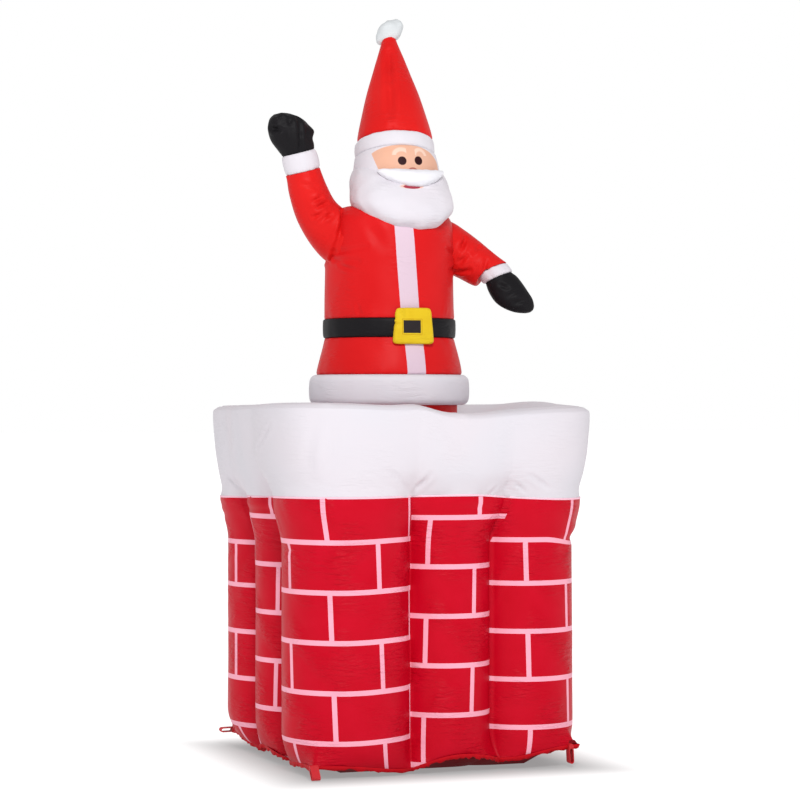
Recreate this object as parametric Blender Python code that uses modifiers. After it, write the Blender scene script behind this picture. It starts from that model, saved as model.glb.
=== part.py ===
"""An air-filled cloth Santa standing in a brick chimney with a snow cap.

Metres, +Z up. The origin is on the floor under the middle of the chimney.
The front face of the chimney looks along -Y, and Santa faces the same way.
Each sewn, air-filled piece is one closed solid.
"""
import math

import bmesh
import bpy
from mathutils import Vector

# Driving dimensions in metres, angles in degrees

GAP = 0.0003              # between two pieces that are sewn together

BASE_SIDE = 0.660         # side of the sewn square around the floor panel
BASE_DENT = 0.024         # how far a tie between two lobes pulls that seam in
VALLEY_LIFT = 0.012       # height of the base seam at a tie between two lobes
FLOOR_INSET = 0.070       # from the base seam in to the flat of the floor panel, at a tie
FLOOR_ARCH = 5.0          # how much farther in the flat lies for each metre that a lobe lifts
FLOOR_KNEE = 0.5          # share of the way in at which the floor panel bends down
FLOOR_KNEE_LIFT = 0.78    # its height there, as a share of the seam's
LOBE_FOOT = 0.105         # height over which a lobe swells out of the base seam
BRICK_HEIGHT = 0.640      # floor to the seam between the red and the white cloth
SEAM_FLARE = 0.019        # how far that seam stands out over the lobes below it
CAP_SWELL = 0.037         # how far the snow cap stands out over the lobes
CAP_SIDE = 0.726          # the cap's soft square, over its middles
CAP_SHIFT = -0.008        # how far the cap hangs over to the left
CAP_ROUND = 0.030         # height of the roll from the cap's side to its rim
WELL_DEPTH = 0.052        # from the middle of the rim down to the panel that carries Santa
WELL_RADIUS = 0.182       # the flat round in that panel

# Each lobe: its centre in X and Y, its radius, how high the base seam lifts under it,
# how far its top seam is off the brick height, and how high the cap's rim stands over that
LOBES = (
    (0.230, 0.000, 0.119, 0.040, -0.003, 0.227),      # right side
    (0.217, 0.217, 0.141, 0.044, -0.005, 0.221),      # right back corner
    (0.000, 0.230, 0.114, 0.042, 0.000, 0.226),       # back
    (-0.219, 0.231, 0.1445, 0.040, -0.013, 0.227),    # left back corner
    (-0.2285, 0.032, 0.124, 0.050, -0.004, 0.220),    # left side
    (-0.209, -0.209, 0.151, 0.030, 0.004, 0.223),     # left front corner
    (0.0235, -0.230, 0.111, 0.048, 0.007, 0.190),     # front
    (0.229, -0.2105, 0.125, 0.052, -0.006, 0.219),    # right front corner
)
STEPS_PER_LOBE = 8

SANTA_X = -0.028          # Santa's own axis, a little left of the chimney's
TRUNK_RADIUS = 0.165
TRUNK_HEIGHT = 0.0505     # the red stub from the panel up to the white hem
HEM_RADIUS = 0.194
HEM_HEIGHT = 0.073
HEM_ROLL = 0.016          # how round the hem's two edges are
SKIRT_HEIGHT = 0.0885     # coat between the hem and the belt
SKIRT_RADIUS = 0.1765     # at the hem
WAIST_RADIUS = 0.1575     # at the belt
BELT_OVER_WAIST = 0.0035  # how far the belt stands out over the coat
BELT_HEIGHT = 0.046
BELT_ROLL = 0.006
BELT_RADIUS = WAIST_RADIUS + BELT_OVER_WAIST
CHEST_RADIUS = 0.1570
CHEST_DEPTH = 0.146       # half the coat's depth, front to back, at the chest
SHOULDER_HEIGHT = 0.232   # from the belt up to where the shoulders round over
COAT_HEIGHT = 0.278       # from the belt up to the collar
COLLAR_RADIUS = 0.080

BUCKLE_WIDTH = 0.096
BUCKLE_HEIGHT = 0.086
BUCKLE_ASIDE = 0.003      # its middle right of the coat's axis
BUCKLE_RISE = 0.003       # its middle above the middle of the belt
BUCKLE_STANDS_OUT = 0.015
BUCKLE_SOFTNESS = 0.011

HEAD_X = -0.0155          # the head sits a little right of the coat's axis
HEAD_FORWARD = 0.014
HEAD_RADIUS = 0.105
HEAD_HEIGHT = 0.112       # collar to the hat band, in the middle
HAT_TILT = 15.0           # how far the hat leans back
HAT_LEAN = 2.3            # how far it leans to the side of the lowered arm
BAND_RADIUS = 0.0965
BAND_HEIGHT = 0.041
HAT_RADIUS = 0.0885
HAT_HEIGHT = 0.276
HAT_TIP_RADIUS = 0.010
POMPOM_RADIUS = 0.0330
POMPOM_ASIDE = 0.007      # the ball leans to the side of the lowered arm

BEARD_HALF_WIDTH = 0.1240
BEARD_HALF_DEPTH = 0.100
BEARD_HALF_HEIGHT = 0.078
BEARD_RISE = 0.006        # middle of the beard above the collar
BEARD_FORWARD = 0.056
BEARD_JUT = 0.45          # how far the beard's foot juts forward for each metre down
MOUSTACHE_ASIDE = 0.006   # right of the head's middle
MOUSTACHE_LIFT = 0.020    # of its tips
MOUSTACHE_WIDTH = 0.168
MOUSTACHE_HEIGHT = 0.036
MOUSTACHE_THICKNESS = 0.056
MOUSTACHE_WRAP = 0.022    # how far back its tips bend

SLEEVE_RIGHT_WRIST = 0.0415
SLEEVE_LEFT_WRIST = 0.0385
CUFF_RIGHT_RADIUS = 0.0415
CUFF_LEFT_RADIUS = 0.0370
GLOVE_RIGHT_WRIST = 0.0400
GLOVE_LEFT_WRIST = 0.0350
GLOVE_RIGHT_LENGTH = 0.102
GLOVE_LEFT_LENGTH = 0.112

STRAP_WIDTH = 0.020       # red webbing of the peg loops
STRAP_THICKNESS = 0.002
LOOP_EYE = 0.0075         # clear width inside a peg loop
LOOP_ROOT = 0.006         # how far a loop reaches in over the base corner

# Heights that follow from the sizes above

WELL_TOP = BRICK_HEIGHT + sum(row[4] + row[5] for row in LOBES) / len(LOBES) - WELL_DEPTH
TRUNK_FOOT = WELL_TOP + GAP
HEM_FOOT = TRUNK_FOOT + TRUNK_HEIGHT + GAP
SKIRT_FOOT = HEM_FOOT + HEM_HEIGHT + GAP
BELT_FOOT = SKIRT_FOOT + SKIRT_HEIGHT + GAP
COAT_FOOT = BELT_FOOT + BELT_HEIGHT + GAP
SHOULDER = COAT_FOOT + SHOULDER_HEIGHT
COLLAR_TOP = COAT_FOOT + COAT_HEIGHT
HEAD_FOOT = COLLAR_TOP + GAP
HEAD_TOP = HEAD_FOOT + HEAD_HEIGHT

UP = Vector((0.0, 0.0, 1.0))
SIDEWAYS = Vector((1.0, 0.0, 0.0))
FORWARD = Vector((0.0, -1.0, 0.0))
HAT_AXIS = Vector((math.sin(math.radians(HAT_LEAN)), math.sin(math.radians(HAT_TILT)), 1.0))
HAT_AXIS.z = math.sqrt(1.0 - HAT_AXIS.x ** 2 - HAT_AXIS.y ** 2)
HAT_FOOT_POINT = Vector((HEAD_X, -HEAD_FORWARD * 0.5, HEAD_TOP))

RED = "ea2c2d"
BRICK_RED = "cb041f"
WHITE = "ece6ec"
BLACK = "242022"
YELLOW = "f1d329"
SKIN = "f0b996"


def start_clean():
    """Remove what the scene holds, and make one collection for pieces and one for cutters."""
    for thing in list(bpy.data.objects):
        bpy.data.objects.remove(thing)
    pieces = bpy.data.collections.new("inflatable_santa")
    cutters = bpy.data.collections.new("cutters")
    for group in (pieces, cutters):
        bpy.context.scene.collection.children.link(group)
    return pieces, cutters


PIECES, CUTTERS = start_clean()


def linear(hex_colour):
    """An sRGB hex colour as the linear values that a shader takes."""
    channels = [int(hex_colour[i:i + 2], 16) / 255 for i in (0, 2, 4)]
    return [c / 12.92 if c <= 0.04045 else ((c + 0.055) / 1.055) ** 2.4 for c in channels] + [1.0]


def dye(thing, hex_colour, roughness=0.55):
    """Give a piece its own cloth material."""
    cloth = bpy.data.materials.new(thing.name + "_cloth")
    cloth.use_nodes = True
    shader = cloth.node_tree.nodes["Principled BSDF"]
    shader.inputs["Base Color"].default_value = linear(hex_colour)
    shader.inputs["Roughness"].default_value = roughness
    thing.data.materials.append(cloth)
    return thing


def place(name, mesh_data, group):
    """Link a new object to a collection."""
    thing = bpy.data.objects.new(name, mesh_data)
    group.objects.link(thing)
    if group is CUTTERS:
        thing.hide_render = True
        thing.display_type = "WIRE"
    return thing


def loft(name, rings, group=None):
    """A closed skin over rings of equal count, with each end closed on its middle."""
    skin = bmesh.new()
    rows = [[skin.verts.new(point) for point in ring] for ring in rings]
    count = len(rows[0])
    for low, high in zip(rows, rows[1:]):
        for i in range(count):
            j = (i + 1) % count
            skin.faces.new((low[i], low[j], high[j], high[i]))
    for row, points, is_foot in ((rows[0], rings[0], True), (rows[-1], rings[-1], False)):
        middle = skin.verts.new(sum(points, Vector()) / count)
        for i in range(count):
            j = (i + 1) % count
            skin.faces.new((middle, row[j], row[i]) if is_foot else (middle, row[i], row[j]))
    bmesh.ops.triangulate(skin, faces=skin.faces, quad_method="FIXED")
    mesh_data = bpy.data.meshes.new(name)
    skin.to_mesh(mesh_data)
    skin.free()
    mesh_data.shade_smooth()
    return place(name, mesh_data, group or PIECES)


def ring(centre, axis, across, wide, deep, count):
    """Points of an oval around an axis."""
    axis = axis.normalized()
    across = (across - axis * across.dot(axis)).normalized()
    along = axis.cross(across)
    points = []
    for i in range(count):
        turn = 2 * math.pi * i / count
        points.append(centre + across * (wide * math.cos(turn)) + along * (deep * math.sin(turn)))
    return points


def upright_stack(name, sections, group=None):
    """A loft of level ovals on Santa's axis. Each section: height, half width, half depth."""
    rings = []
    for height, wide, deep in sections:
        rings.append(ring(Vector((SANTA_X, 0.0, height)), UP, SIDEWAYS, wide, deep, 32))
    return loft(name, rings, group)


def swell(thing, distance=GAP * 1.3):
    """Move the whole skin of a cutter outwards, for the gap around the piece that it stands for."""
    skin = bmesh.new()
    skin.from_mesh(thing.data)
    skin.normal_update()
    for vert in skin.verts:
        vert.co += vert.normal * distance
    skin.to_mesh(thing.data)
    skin.free()
    return thing


def cut(thing, cutter):
    """Trim a piece where its neighbour is, which leaves the sewing gap between them."""
    trim = thing.modifiers.new("trim_" + cutter.name, "BOOLEAN")
    trim.operation = "DIFFERENCE"
    trim.solver = "EXACT"
    trim.object = cutter


# The lobed outline of the chimney and its cap

def crossing(first, second, grow):
    """Direction, seen from the axis, in which two neighbouring lobes meet."""
    centre_1, centre_2 = Vector(first[:2]), Vector(second[:2])
    radius_1, radius_2 = first[2] + grow, second[2] + grow
    span = centre_2 - centre_1
    distance = span.length
    along = (distance ** 2 + radius_1 ** 2 - radius_2 ** 2) / (2 * distance)
    aside = math.sqrt(max(radius_1 ** 2 - along ** 2, 0.0))
    unit = span / distance
    outward = Vector((unit.y, -unit.x))
    meeting = centre_1 + unit * along + outward * aside
    return math.atan2(meeting.y, meeting.x)


def lobe_reach(lobe, angle, grow):
    """Distance from the axis to the outside of one lobe."""
    direction = Vector((math.cos(angle), math.sin(angle)))
    centre = Vector(lobe[:2])
    ahead = centre.dot(direction)
    aside = centre.x * direction.y - centre.y * direction.x
    return ahead + math.sqrt(max((lobe[2] + grow) ** 2 - aside ** 2, 0.0))


def lobe_steps(grow):
    """For each point around: its lobe, its share of the way across, its direction and reach."""
    steps = []
    for i, lobe in enumerate(LOBES):
        start = crossing(LOBES[i - 1], lobe, grow)
        end = crossing(lobe, LOBES[(i + 1) % len(LOBES)], grow)
        middle = math.atan2(lobe[1], lobe[0])
        if i % 2:
            middle = math.copysign(math.pi / 4 if lobe[0] > 0 else math.pi * 3 / 4, lobe[1])
        before = (middle - start) % (2 * math.pi)
        after = (end - middle) % (2 * math.pi)
        for k in range(STEPS_PER_LOBE):
            share = k / STEPS_PER_LOBE
            angle = start + before * share * 2
            if share > 0.5:
                angle = middle + after * (share * 2 - 1)
            steps.append((i, share, angle, lobe_reach(lobe, angle, grow)))
    return steps


def around(column, i, share):
    """A lobe's own value, eased into its neighbours' values at the ties."""
    here = LOBES[i][column]
    other = LOBES[(i + (1 if share > 0.5 else -1)) % len(LOBES)][column]
    ease = 0.5 - 0.5 * math.cos(math.pi * abs(share - 0.5))
    return here + (other - here) * ease


def outline(grow, height, seam_share=0.0, softness=0.0):
    """The lobed outline. Its height takes a share of the seam's wave, and softness fills its ties."""
    points = []
    for i, share, angle, reach in lobe_steps(grow):
        c, s = math.cos(angle), math.sin(angle)
        square = (CAP_SIDE / 2 + grow) * (abs(c) ** 5 + abs(s) ** 5) ** -0.2
        reach += (square - reach) * softness
        shift = CAP_SHIFT * softness
        wave = around(4, i, share) * seam_share
        points.append(Vector((reach * c + shift, reach * s, height + wave)))
    return points


def base_seam(inward, lift):
    """The sewn square at the foot: its ties pull it in, and it lifts under each lobe.

    The floor panel takes the same form, smaller and lower, down to its flat.
    """
    points = []
    for i, share, angle, reach in lobe_steps(0.0):
        bulge = math.sin(math.pi * share)
        rise = bulge ** 2 if i % 2 else bulge
        height = VALLEY_LIFT + (LOBES[i][3] - VALLEY_LIFT) * rise
        inset = (FLOOR_INSET + FLOOR_ARCH * (height - VALLEY_LIFT)) * inward
        side = BASE_SIDE / 2 - inset - BASE_DENT * (1 - bulge) ** 2
        square = side / max(abs(math.cos(angle)), abs(math.sin(angle)))
        points.append(Vector((square * math.cos(angle), square * math.sin(angle), height * lift)))
    return points


def blend(first, second, share):
    """Points part of the way from one ring to another."""
    return [a.lerp(b, share) for a, b in zip(first, second)]


def chimney_rings():
    """Rings of the red tube, from the flat of its floor panel up to the seam."""
    seam = base_seam(0.0, 1.0)
    lobes = outline(0.0, LOBE_FOOT)
    rings = [base_seam(1.0, 0.0), base_seam(FLOOR_KNEE, FLOOR_KNEE_LIFT), seam]
    for share, height in ((0.50, 0.20), (0.88, 0.58)):
        swollen = blend(seam, lobes, share)
        for point, foot in zip(swollen, seam):
            point.z = foot.z + (LOBE_FOOT - foot.z) * height
        rings.append(swollen)
    rings.append(lobes)
    level = BRICK_HEIGHT - LOBE_FOOT
    for share, flare in ((0.58, 0.0), (0.82, 0.20), (0.94, 0.75), (1.0, 1.0)):
        rings.append(outline(SEAM_FLARE * flare, LOBE_FOOT + level * share, share))
    return rings


def make_chimney():
    return dye(loft("chimney", chimney_rings()), BRICK_RED, 0.5)


def rim(grow, drop, softness):
    """A ring near the rim, which stands higher at some lobes than at others."""
    points = outline(grow, BRICK_HEIGHT - drop, 1.0, softness)
    for point, (i, share, angle, reach) in zip(points, lobe_steps(grow)):
        point.z += around(5, i, share)
    return points


def make_snow_cap():
    """White roll on the seam. Its top panel dips to a flat round that carries Santa."""
    foot = outline(SEAM_FLARE, BRICK_HEIGHT + GAP, 1.0)
    shoulder = rim(CAP_SWELL * 0.97, CAP_ROUND * 1.3, 0.72)
    rings = [foot]
    for share, puff, softness in ((0.12, 0.70, 0.22), (0.32, 0.92, 0.48), (0.62, 1.0, 0.66)):
        bulged = outline(CAP_SWELL * puff, BRICK_HEIGHT, 1.0, softness)
        for point, low, high in zip(bulged, foot, shoulder):
            point.z = low.z + (high.z - low.z) * share
        rings.append(bulged)
    edge = rim(CAP_SWELL * 0.25, 0.0, 0.70)
    rings += [shoulder, rim(CAP_SWELL * 0.78, CAP_ROUND * 0.42, 0.72), edge]
    centre = Vector((SANTA_X, 0.0, WELL_TOP))
    flat = []
    for point in edge:
        turn = math.atan2(point.y, point.x)
        flat.append(centre + Vector((math.cos(turn), math.sin(turn), 0.0)) * WELL_RADIUS)
    for share, sunk in ((0.25, 0.06), (0.55, 0.42), (0.82, 0.88)):
        panel = blend(edge, flat, share)
        for point, high in zip(panel, edge):
            point.z = high.z + (WELL_TOP - high.z) * sunk
        rings.append(panel)
    rings.append(flat)
    return dye(loft("snow_cap", rings), WHITE)


# Santa's body, from the panel up

def make_trunk():
    top = TRUNK_FOOT + TRUNK_HEIGHT
    sections = [(TRUNK_FOOT, TRUNK_RADIUS, TRUNK_RADIUS), (top, TRUNK_RADIUS, TRUNK_RADIUS)]
    return dye(upright_stack("trunk", sections), RED)


def rolled_band(foot, height, radius, inner, roll):
    """Sections of a puffed band: its upper and lower edges roll in to the seams."""
    sections = []
    for turn in (0, 30, 60, 90):
        out = radius - roll + roll * math.sin(math.radians(turn))
        up = roll - roll * math.cos(math.radians(turn))
        sections.append((foot + up, out, out))
    sections = [(foot, inner, inner)] + sections[1:]
    upper = [(2 * foot + height - level, wide, deep) for level, wide, deep in sections]
    return sections + upper[::-1]


def make_coat_hem():
    sections = rolled_band(HEM_FOOT, HEM_HEIGHT, HEM_RADIUS, HEM_RADIUS - HEM_ROLL, HEM_ROLL)
    return dye(upright_stack("coat_hem", sections), WHITE)


def skirt_sections():
    top = SKIRT_FOOT + SKIRT_HEIGHT
    middle = (SKIRT_RADIUS + WAIST_RADIUS) / 2
    return [
        (SKIRT_FOOT, SKIRT_RADIUS - 0.003, SKIRT_RADIUS - 0.003),
        (SKIRT_FOOT + 0.006, SKIRT_RADIUS, SKIRT_RADIUS),
        (SKIRT_FOOT + SKIRT_HEIGHT * 0.5, middle + 0.002, middle + 0.002),
        (top - 0.006, WAIST_RADIUS + 0.002, WAIST_RADIUS + 0.002),
        (top, WAIST_RADIUS - 0.001, WAIST_RADIUS - 0.001),
    ]


def belt_sections():
    return rolled_band(BELT_FOOT, BELT_HEIGHT, BELT_RADIUS, BELT_RADIUS - BELT_ROLL, BELT_ROLL)


def coat_sections():
    """Chest, shoulders and collar. The depth shrinks from the belt to the chest."""
    rise = COAT_HEIGHT - SHOULDER_HEIGHT
    return [
        (COAT_FOOT, WAIST_RADIUS - 0.001, WAIST_RADIUS - 0.002),
        (COAT_FOOT + 0.006, WAIST_RADIUS, WAIST_RADIUS - 0.001),
        (COAT_FOOT + SHOULDER_HEIGHT * 0.3, CHEST_RADIUS, (WAIST_RADIUS + CHEST_DEPTH) / 2),
        (COAT_FOOT + SHOULDER_HEIGHT * 0.65, CHEST_RADIUS, CHEST_DEPTH),
        (SHOULDER, CHEST_RADIUS - 0.003, CHEST_DEPTH - 0.010),
        (SHOULDER + rise * 0.45, CHEST_RADIUS - 0.013, CHEST_DEPTH - 0.030),
        (SHOULDER + rise * 0.80, CHEST_RADIUS - 0.036, CHEST_DEPTH - 0.050),
        (COLLAR_TOP, COLLAR_RADIUS, COLLAR_RADIUS),
    ]


def make_body():
    """The skirt of the coat, the belt and the upper coat."""
    dye(upright_stack("coat_skirt", skirt_sections()), RED)
    dye(upright_stack("belt", belt_sections()), BLACK, 0.6)
    dye(upright_stack("coat", coat_sections()), RED)


def make_buckle(room):
    """A soft stuffed square over the belt. Its back is trimmed to the coat and the belt."""
    depth = BUCKLE_STANDS_OUT * 3
    block = bmesh.new()
    bmesh.ops.create_cube(block, size=1.0)
    level = BELT_FOOT + BELT_HEIGHT / 2 + BUCKLE_RISE
    middle = Vector((SANTA_X + BUCKLE_ASIDE, depth / 2 - BELT_RADIUS - BUCKLE_STANDS_OUT, level))
    size = Vector((BUCKLE_WIDTH, depth, BUCKLE_HEIGHT))
    for corner in block.verts:
        corner.co = corner.co * size + middle
    mesh_data = bpy.data.meshes.new("buckle")
    block.to_mesh(mesh_data)
    block.free()
    buckle = place("buckle", mesh_data, PIECES)
    soft = buckle.modifiers.new("soft_edges", "BEVEL")
    soft.width = BUCKLE_SOFTNESS
    soft.segments = 2
    for neighbour in ("coat_skirt", "belt", "coat"):
        cut(buckle, room[neighbour])
    return dye(buckle, YELLOW)


# The head, the hat and the beard

def head_rings():
    """A ball between the collar and the tilted seam of the hat band."""
    rings = []
    for share, swell in ((0.0, 0.72), (0.14, 0.87), (0.34, 0.97), (0.56, 1.0), (0.80, 0.985), (1.0, 0.945)):
        axis = UP.lerp(HAT_AXIS, share)
        forward = HEAD_FORWARD * math.sin(math.pi * share) + HEAD_FORWARD * 0.5 * share
        centre = Vector((HEAD_X, -forward, HEAD_FOOT + HEAD_HEIGHT * share))
        radius = HEAD_RADIUS * swell
        rings.append(ring(centre, axis, SIDEWAYS, radius, radius, 28))
    return rings


def hat_point(height):
    """A point on the axis of the hat, at a height above the top of the head."""
    return HAT_FOOT_POINT + HAT_AXIS * height


def hat_rings():
    """The cone: full near the band, then drawn to a small flat tip."""
    foot = BAND_HEIGHT + 2 * GAP
    rings = []
    shares = ((0.0, 1.0), (0.05, 1.01), (0.126, 0.97), (0.205, 0.91), (0.29, 0.84), (0.435, 0.71),
              (0.59, 0.555), (0.745, 0.405), (0.90, 0.245), (0.96, 0.18))
    for share, swell in shares:
        radius = HAT_RADIUS * swell
        rings.append(ring(hat_point(foot + HAT_HEIGHT * share), HAT_AXIS, SIDEWAYS, radius, radius, 28))
    tip = HAT_TIP_RADIUS
    rings.append(ring(hat_point(foot + HAT_HEIGHT), HAT_AXIS, SIDEWAYS, tip, tip, 28))
    return rings


def make_head_and_hat():
    dye(loft("head", head_rings()), SKIN, 0.6)
    band = []
    for share, swell in ((0.0, 0.97), (0.18, 1.0), (0.5, 1.01), (0.82, 1.0), (1.0, 0.97)):
        radius = BAND_RADIUS * swell
        band.append(ring(hat_point(GAP + BAND_HEIGHT * share), HAT_AXIS, SIDEWAYS, radius, radius, 28))
    dye(loft("hat_band", band), WHITE)
    dye(loft("hat", hat_rings()), RED)


def soft_ball(name, centre, wide, deep, tall, fullness, bend=None, group=None):
    """A stuffed ball drawn out to three half sizes; bend moves its points last."""
    ball = bmesh.new()
    bmesh.ops.create_uvsphere(ball, u_segments=20, v_segments=12, radius=1.0)
    for vert in ball.verts:
        length = sum(abs(c) ** fullness for c in vert.co) ** (1 / fullness)
        unit = vert.co / length
        offset = Vector((unit.x * wide, unit.y * deep, unit.z * tall))
        vert.co = (bend(offset) if bend else offset) + centre
    mesh_data = bpy.data.meshes.new(name)
    ball.to_mesh(mesh_data)
    ball.free()
    mesh_data.shade_smooth()
    return place(name, mesh_data, group or PIECES)


def jut(offset):
    """The beard hangs forward the lower it gets."""
    return offset + FORWARD * (-offset.z * BEARD_JUT)


def beard_ball(name, group=None):
    centre = Vector((HEAD_X, -BEARD_FORWARD, HEAD_FOOT + BEARD_RISE))
    return soft_ball(name, centre, BEARD_HALF_WIDTH, BEARD_HALF_DEPTH, BEARD_HALF_HEIGHT,
                     2.4, jut, group)


def droop(offset):
    """The moustache wraps back around the head, and its middle hangs lower than its tips."""
    share = abs(offset.x) * 2 / MOUSTACHE_WIDTH
    thin = 1 - 0.55 * share ** 2
    back = MOUSTACHE_WRAP * share ** 2
    return Vector((offset.x, offset.y * thin + back, offset.z * thin + MOUSTACHE_LIFT * share ** 2))


def make_beard_and_moustache(room):
    beard = beard_ball("beard")
    for neighbour in ("coat", "head"):
        cut(beard, room[neighbour])
    dye(beard, WHITE)
    front = HEAD_RADIUS + HEAD_FORWARD * 1.4
    centre = Vector((HEAD_X + MOUSTACHE_ASIDE, -front, HEAD_FOOT + HEAD_HEIGHT * 0.47))
    moustache = soft_ball("moustache", centre, MOUSTACHE_WIDTH / 2, MOUSTACHE_THICKNESS / 2,
                          MOUSTACHE_HEIGHT / 2, 2.2, droop)
    for neighbour in ("head", "beard"):
        cut(moustache, room[neighbour])
    dye(moustache, WHITE)


def make_pompom(room):
    centre = hat_point(BAND_HEIGHT + HAT_HEIGHT) + SIDEWAYS * POMPOM_ASIDE + UP * POMPOM_RADIUS * 0.5
    pompom = soft_ball("pompom", centre, POMPOM_RADIUS, POMPOM_RADIUS, POMPOM_RADIUS, 2.0)
    cut(pompom, room["hat"])
    dye(pompom, WHITE)


# The arms. Stations are shoulder to hand: the middle, with its height over the shoulder, and
# the radius there

ARM_RIGHT = (
    ((-0.110, 0.000, -0.0601), 0.0600),
    ((-0.150, 0.000, -0.0421), 0.0630),
    ((-0.182, -0.002, -0.0151), 0.0590),
    ((-0.216, -0.005, 0.0259), 0.0515),
    ((-0.237, -0.010, 0.0719), 0.0465),
    ((-0.252, -0.012, 0.1204), SLEEVE_RIGHT_WRIST),
)
CUFF_END_RIGHT = Vector((-0.2645, -0.014, 0.1659))
CUFF_RIGHT_FACES = Vector((-0.264, -0.042, 0.963))

ARM_LEFT = (
    ((0.070, 0.000, -0.0381), 0.0560),
    ((0.110, 0.000, -0.0461), 0.0600),
    ((0.140, -0.004, -0.0611), 0.0565),
    ((0.173, -0.020, -0.0841), 0.0515),
    ((0.203, -0.037, -0.1051), 0.0465),
    ((0.2210, -0.050, -0.1071), SLEEVE_LEFT_WRIST),
)
CUFF_END_LEFT = Vector((0.2355, -0.058, -0.1291))
CUFF_LEFT_FACES = Vector((0.340, -0.230, -0.912))

# The mittens. Each station: how far along, as a share of the length; steps sideways and
# forward; its two radii, as shares of the wrist's
MITTEN_RIGHT = (
    (0.0, 0.0, 0.0, 1.0, 0.80),
    (0.157, 0.002, 0.0, 1.14, 0.90),
    (0.392, 0.006, 0.0, 1.30, 0.95),
    (0.588, 0.010, 0.0, 1.26, 0.92),
    (0.765, 0.016, 0.0, 1.04, 0.80),
    (0.922, 0.023, 0.0, 0.66, 0.56),
    (1.0, 0.026, 0.0, 0.28, 0.24),
)
MITTEN_LEFT = (
    (0.0, 0.0, 0.0, 1.0, 0.85),
    (0.164, -0.001, 0.0, 1.14, 0.95),
    (0.382, -0.002, 0.002, 1.17, 0.92),
    (0.600, 0.001, 0.004, 1.04, 0.80),
    (0.800, 0.007, 0.006, 0.80, 0.60),
    (0.945, 0.012, 0.007, 0.43, 0.34),
    (1.0, 0.014, 0.007, 0.14, 0.14),
)
MITTEN_TURN = 0.3         # share of a mitten over which it turns from the cuff's way to its own


def over_shoulder(point):
    """A point of an arm, from its height over the shoulder."""
    return Vector((point[0], point[1], point[2] + SHOULDER))


def limb(name, stations, top_axis):
    """A loft along an arm."""
    middles = [over_shoulder(middle) for middle, radius in stations]
    rings = []
    for i, (middle, radius) in enumerate(stations):
        if i == 0:
            axis = middles[1] - middles[0]
        elif i == len(stations) - 1:
            axis = top_axis
        else:
            axis = middles[i + 1] - middles[i - 1]
        rings.append(ring(middles[i], axis, FORWARD, radius, radius, 20))
    return loft(name, rings)


def mitten(name, start, way, faces, wrist, length, stations):
    """A mitten, which starts square to the cuff and turns to its own way."""
    aside = FORWARD.cross(way).normalized()
    rings = []
    for share, sideways, forward, wide, deep in stations:
        centre = start + way * (length * share) + aside * sideways + FORWARD * forward
        axis = faces.lerp(way, min(share / MITTEN_TURN, 1.0))
        rings.append(ring(centre, axis, FORWARD.cross(axis), wide * wrist, deep * wrist, 20))
    return loft(name, rings)


def make_arm(side, stations, cuff_end, faces, cuff_radius, room):
    """One sleeve, trimmed to the coat, and its cuff. Gives where the mitten starts and its way."""
    wrist = over_shoulder(stations[-1][0])
    end = over_shoulder(cuff_end)
    faces = faces.normalized()
    way = (end - wrist).normalized()
    sleeve = limb("sleeve_" + side, stations, faces)
    cut(sleeve, room["coat"])
    dye(sleeve, RED)
    rings = []
    for share, swell in ((0.0, 0.96), (0.15, 1.02), (0.5, 1.05), (0.85, 1.02), (1.0, 0.96)):
        centre = (wrist + faces * GAP).lerp(end - faces * GAP, share)
        radius = cuff_radius * swell
        rings.append(ring(centre, faces, FORWARD, radius, radius, 20))
    dye(loft("cuff_" + side, rings), WHITE)
    return end + faces * GAP, way, faces


def make_arms(room):
    start, way, faces = make_arm("right", ARM_RIGHT, CUFF_END_RIGHT, CUFF_RIGHT_FACES, CUFF_RIGHT_RADIUS, room)
    right = mitten("glove_right", start, way, faces, GLOVE_RIGHT_WRIST, GLOVE_RIGHT_LENGTH, MITTEN_RIGHT)
    start, way, faces = make_arm("left", ARM_LEFT, CUFF_END_LEFT, CUFF_LEFT_FACES, CUFF_LEFT_RADIUS, room)
    left = mitten("glove_left", start, way, faces, GLOVE_LEFT_WRIST, GLOVE_LEFT_LENGTH, MITTEN_LEFT)
    for glove in (right, left):
        dye(glove, BLACK, 0.7)


# The peg loops

def loop_outline(half_width, start, end):
    """A long narrow loop in the XY plane of a curve, round at both ends."""
    steps = 5
    points = []
    for centre, first in ((end, 90.0), (start, -90.0)):
        for k in range(steps + 1):
            turn = math.radians(first - 180.0 * k / steps)
            points.append((centre + half_width * math.cos(turn), half_width * math.sin(turn)))
    return points


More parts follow.
